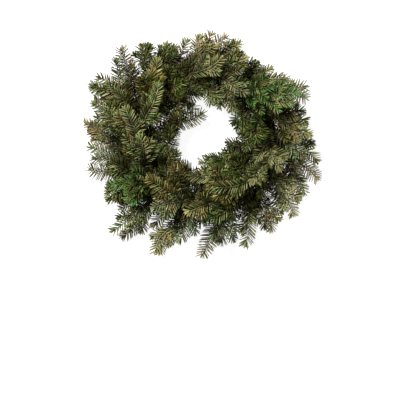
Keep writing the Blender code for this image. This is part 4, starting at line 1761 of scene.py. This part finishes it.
@dataclass
class StrawRing:
    """The ring of straw: a core with long stalks laid round it, and the twine that holds them.

    The core's fibre says how many clock degrees a unit of the straw's pattern takes, a stalk's how
    many units lie along it, and the twine's twists how often its strands turn in each of its turns.
    """

    ring: RingForm
    core_steps: int = 168
    core_sides: int = 24
    core_distance: float = 0.0100
    core_tone: float = 0.2
    core_fibre: float = 12.0
    groove_depth: float = 0.0020
    groove_width: float = 2.2
    stalks: int = 250
    stalk_stations: int = 14
    stalk_sides: int = 5
    stalk_radius: float = 0.0010
    stalk_flatness: float = 0.75
    stalk_distance: float = 0.0107
    stalk_offset: Span = (-0.0004, 0.0003)
    stalk_span: Span = (50.0, 120.0)
    stalk_wander: Span = (-26.0, 26.0)
    stalk_fibre: float = 6.0
    knot_swelling: float = 0.18
    knot_width: float = 0.03
    lowest: float = 0.0001
    twine_turns: int = 70
    twine_stations: int = 14
    twine_sides: int = 5
    twine_radius: float = 0.0004
    twine_twists: float = 16.0

    def floor_at(self, clock: Array) -> Array:
        """How high the straw's back stands: 0, but pressed up where the wire crosses it.

        The rise is the groove's depth times e to the minus square of the clock angle from the
        nearest crossing over the groove's width.

        Args:
            clock: Clock angles.

        Returns:
            The height at each.
        """
        step = 360.0 / self.ring.turns
        apart = (clock / step) % 1.0 - 0.5
        return self.groove_depth * np.exp(-((apart * step / self.groove_width) ** 2))

    def path(self, clock: Array, angle: Array, distance: Number, radius: float) -> Array:
        """A line on the ring, which keeps a round of this radius above the ring's flat back.

        Args:
            clock: The clock angle of each point.
            angle: Its angle round the ring's section.
            distance: Its distance from the middle of the section.
            radius: The radius of the round.

        Returns:
            The points, with x, y and z last.
        """
        points = self.ring.section_point(clock, angle, distance)
        lowest = self.floor_at(clock) + radius
        points[..., 2] = np.maximum(points[..., 2], lowest)
        return points

    def add_core(self, surface: Surface) -> None:
        """Adds the core: a round section with a flat back, spun round the wreath's axis.

        Args:
            surface: Where the core goes.
        """
        clocks, angles = np.meshgrid(
            np.linspace(0.0, 360.0, self.core_steps, endpoint=False),
            np.linspace(0.0, 360.0, self.core_sides, endpoint=False),
            indexing="ij",
        )
        points = self.path(clocks, angles, self.core_distance, self.stalk_radius)
        rows, columns = clocks.shape
        row = np.arange(rows)[:, None] * columns
        after = (row + columns) % (rows * columns)
        column = np.arange(columns)[None, :]
        beside = (column + 1) % columns
        corners = (row + column, row + beside, after + beside, after + column)
        faces = np.stack(corners, axis=-1).reshape(-1, 4)[:, ::-1]
        along = clocks / self.core_fibre
        surface.add(points, [faces], 0, tone=self.core_tone, along=along, round=angles / 360.0)

    def add_stalks(self, surface: Surface, draw: Draw) -> None:
        """Adds the stalks: round tubes that follow the ring, each wandering a little round it.

        Each sits the golden angle further round the section than the one before, and has one knot
        half way, where the radius at share s grows by 0.18 times e to the minus square of
        (s - a half) / 0.03.

        Args:
            surface: Where the stalks go.
            draw: The seeded source of small differences.
        """
        share = np.linspace(0.0, 1.0, self.stalk_stations)
        start = draw.uniform(0.0, 360.0, self.stalks)[:, None]
        span = draw.uniform(*self.stalk_span, self.stalks)[:, None]
        seat = (np.arange(self.stalks) * GOLDEN_ANGLE)[:, None]
        wander = draw.uniform(*self.stalk_wander, self.stalks)[:, None]
        clock = start + span * share
        angle = seat + wander * (share - 0.5)
        distance = self.stalk_distance + draw.uniform(*self.stalk_offset, self.stalks)[:, None]
        paths = self.path(clock, angle, distance, self.stalk_radius)
        ahead = directions(paths)
        across = unit(np.cross(UP, ahead))
        over = np.cross(ahead, across)
        knot = 1.0 + self.knot_swelling * np.exp(-(((share - 0.5) / self.knot_width) ** 2))
        radius = np.broadcast_to(self.stalk_radius * knot, clock.shape)
        depth = radius * self.stalk_flatness
        tubes = carried(paths, across, over, radius, depth, self.stalk_sides)
        tubes[..., 2] = np.maximum(tubes[..., 2], self.lowest)
        surface.add(
            tubes,
            carried_faces(self.stalks, self.stalk_stations, self.stalk_sides),
            0,
            tone=draw.random(self.stalks)[:, None, None],
            along=(share * self.stalk_fibre)[None, :, None],
            round=(np.arange(self.stalk_sides) / self.stalk_sides)[None, None, :],
        )

    def add_twine(self, surface: Surface) -> None:
        """Adds the twine: one thread that winds round the ring's section as it goes round.

        Args:
            surface: Where the twine goes.
        """
        steps = self.twine_turns * self.twine_stations
        share = np.linspace(0.0, 1.0, steps)
        clock = 360.0 * share
        angle = 360.0 * self.twine_turns * share
        distance = self.ring.thickness / 2 - self.twine_radius
        path = self.path(clock, angle, distance, self.twine_radius)
        onwards = self.ring.clock_way(clock + 90.0)
        surface.add(
            round_tube(path, onwards, self.twine_radius, self.twine_sides),
            carried_faces(1, steps, self.twine_sides),
            1,
            along=(share * self.twine_turns * self.twine_twists)[None, :, None],
            round=(np.arange(self.twine_sides) / self.twine_sides)[None, None, :],
        )

    def build(self, draw: Draw) -> bpy.types.Object:
        """Builds the ring in place of its solid.

        Args:
            draw: The seeded source of small differences.

        Returns:
            The piece.
        """
        surface = Surface(("tone", "along", "round"))
        self.add_core(surface)
        self.add_stalks(surface, draw)
        self.add_twine(surface)
        finishes = (StrawFinish().material(), TwineFinish().material())
        ring = surface.piece("straw_ring_wound", finishes)
        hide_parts("straw_ring")
        return ring


@dataclass
class BindingWire:
    """The wire that binds the sprigs: round, and bent evenly over the stems and under the ring."""

    ring: RingForm
    sides: int = 8
    rounding: float = 0.42
    corner_steps: int = 5

    def corners(self) -> Array:
        """The wire's corners: up the ring's outer side, over the stems, and back under the ring.

        Returns:
            The corners, one in each row.
        """
        ring = self.ring
        over_stems = ring.thickness / 2 + 2 * ring.gap + 2 * ring.stem_radius + ring.wire_radius
        beside_ring = ring.thickness / 2 + 3 * ring.gap + ring.wire_radius
        turns = ring.turn_clock(np.arange(ring.turns))[:, None]
        angles, slants = np.array(ring.angles), np.array(ring.slants)
        distances = np.where((angles > 0.0) & (angles < 180.0), over_stems, beside_ring)
        raised = ring.section_point(turns + slants, angles, distances)
        half_turn = ring.turn_clock(0.5)
        reaches = ring.radius + ring.crossing_reach * np.array([-1.0, 1.0])
        under = ring.clock_point(turns + half_turn, reaches, ring.crossing_height)
        return np.concatenate([raised, under], axis=1).reshape(-1, 3)

    def path(self) -> Array:
        """The wire's line: each corner is rounded by a parabola between points on its two sides.

        With c the corner, a and b the points a share of the way back and on, and t from 0 to 1,
        the point is (1 - t)^2 a + 2 t (1 - t) c + t^2 b.

        Returns:
            The points, one in each row.
        """
        corners = self.corners()
        middle = corners[1:-1]
        before = middle + (corners[:-2] - middle) * self.rounding
        after = middle + (corners[2:] - middle) * self.rounding
        share = np.linspace(0.0, 1.0, self.corner_steps)[None, :, None]
        rounded = (
            (1.0 - share) ** 2 * before[:, None]
            + 2.0 * share * (1.0 - share) * middle[:, None]
            + share**2 * after[:, None]
        )
        return np.vstack([corners[:1], rounded.reshape(-1, 3), corners[-1:]])

    def build(self) -> bpy.types.Object:
        """Builds the wire in place of its solid.

        Returns:
            The piece.
        """
        path = self.path()
        surface = Surface()
        tube = round_tube(path, self.ring.onwards(path), self.ring.wire_radius, self.sides)
        surface.add(tube, carried_faces(1, len(path), self.sides), 0)
        wire = surface.piece("binding_wire_round", (WireFinish().material(),))
        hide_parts("binding_wire")
        return wire


@dataclass
class Studio:
    """A pale floor, soft light from all round, a larger lamp overhead, and the camera."""

    height: float = 2.5
    frame_width: float = 0.760
    sensor: float = 36.0
    aim: Span = (-0.0057, -0.1035)
    sky: float = 0.20
    lamp_power: float = 104.0
    lamp_size: float = 0.5
    lamp_place: tuple[float, float, float] = (-1.10, 1.20, 1.75)
    floor_reaches: Span = (0.02, 12.0)
    floor_rings: int = 30
    floor_sides: int = 64
    floor_drop: float = 0.0002
    flat_reach: float = 3.0
    rim_rise: float = 0.032

    def build_floor(self) -> bpy.types.Object:
        """Builds the floor: a disc so gently dished at its rim that it reads as flat.

        Its height at distance r from the middle is 0 up to 3 m and then 0.032 times the square of
        the rest. All of it is lowered by the drop, so that it just clears the wreath.

        Returns:
            The floor.
        """
        reach = np.geomspace(*self.floor_reaches, self.floor_rings)[:, None]
        turn = (np.arange(self.floor_sides) * 2.0 * math.pi / self.floor_sides)[None, :]
        rise = self.rim_rise * np.maximum(reach - self.flat_reach, 0.0) ** 2 - self.floor_drop
        x, y, z = np.broadcast_arrays(reach * np.cos(turn), reach * np.sin(turn), rise)
        walls, ends = carried_faces(1, self.floor_rings, self.floor_sides)
        surface = Surface()
        surface.add(np.stack([x, y, z], axis=-1), [walls[:, ::-1], ends[:1, ::-1]], 0)
        floor = surface.made("studio_floor", (FloorFinish().material(),))
        floor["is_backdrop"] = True
        return floor

    def light(self) -> None:
        """Sets the even white surroundings and the lamp."""
        world = bpy.data.worlds.new("studio_white")
        world.use_nodes = True
        ground = world.node_tree.nodes["Background"]
        ground.inputs["Color"].default_value = (*WHITE, 1.0)
        ground.inputs["Strength"].default_value = self.sky
        bpy.context.scene.world = world
        lamp = bpy.data.lights.new("soft_lamp", "AREA")
        lamp.energy = self.lamp_power
        lamp.size = self.lamp_size
        holder = bpy.data.objects.new("soft_lamp", lamp)
        holder.location = self.lamp_place
        holder.rotation_euler = (-Vector(self.lamp_place)).to_track_quat("-Z", "Y").to_euler()
        bpy.context.scene.collection.objects.link(holder)

    def camera(self) -> bpy.types.Object:
        """Sets the camera straight above, as far off as keeps the wreath's height from showing.

        Returns:
            The camera.
        """
        lens = bpy.data.cameras.new("camera")
        lens.sensor_width = self.sensor
        lens.lens = self.sensor * self.height / self.frame_width
        holder = bpy.data.objects.new("camera", lens)
        holder.location = (*self.aim, self.height)
        bpy.context.scene.collection.objects.link(holder)
        bpy.context.scene.camera = holder
        bpy.context.scene.view_settings.view_transform = "Standard"
        return holder


def write_sizes() -> None:
    """Gathers the box of the solids and the box of the dressed wreath into plain lists; nothing is
    written.
    """
    boxes = {"cad": cad_box, "visual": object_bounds()}
    plain = {name: [list(corner) for corner in box] for name, box in boxes.items()}


def main() -> None:
    """Builds the wreath's pieces and the studio, in order."""
    logging.basicConfig(level=logging.INFO, format="%(message)s")
    draw = np.random.default_rng(SEED)
    ring = RingForm()
    straw = StrawRing(ring).build(draw)
    log.info("%s: %d faces", straw.name, len(straw.data.polygons))
    wire = BindingWire(ring).build()
    log.info("%s: %d faces", wire.name, len(wire.data.polygons))
    pieces = Foliage(ring).build(Dress.made(), draw)
    shown = [straw, wire, *pieces]
    triangles = sum(len(piece.data.loops) - 2 * len(piece.data.polygons) for piece in shown)
    log.info("%d sprigs, %d triangles in all", len(pieces), triangles)
    studio = Studio()
    studio.build_floor()
    studio.light()
    studio.camera()
    write_sizes()


if __name__ == "__main__":
    main()
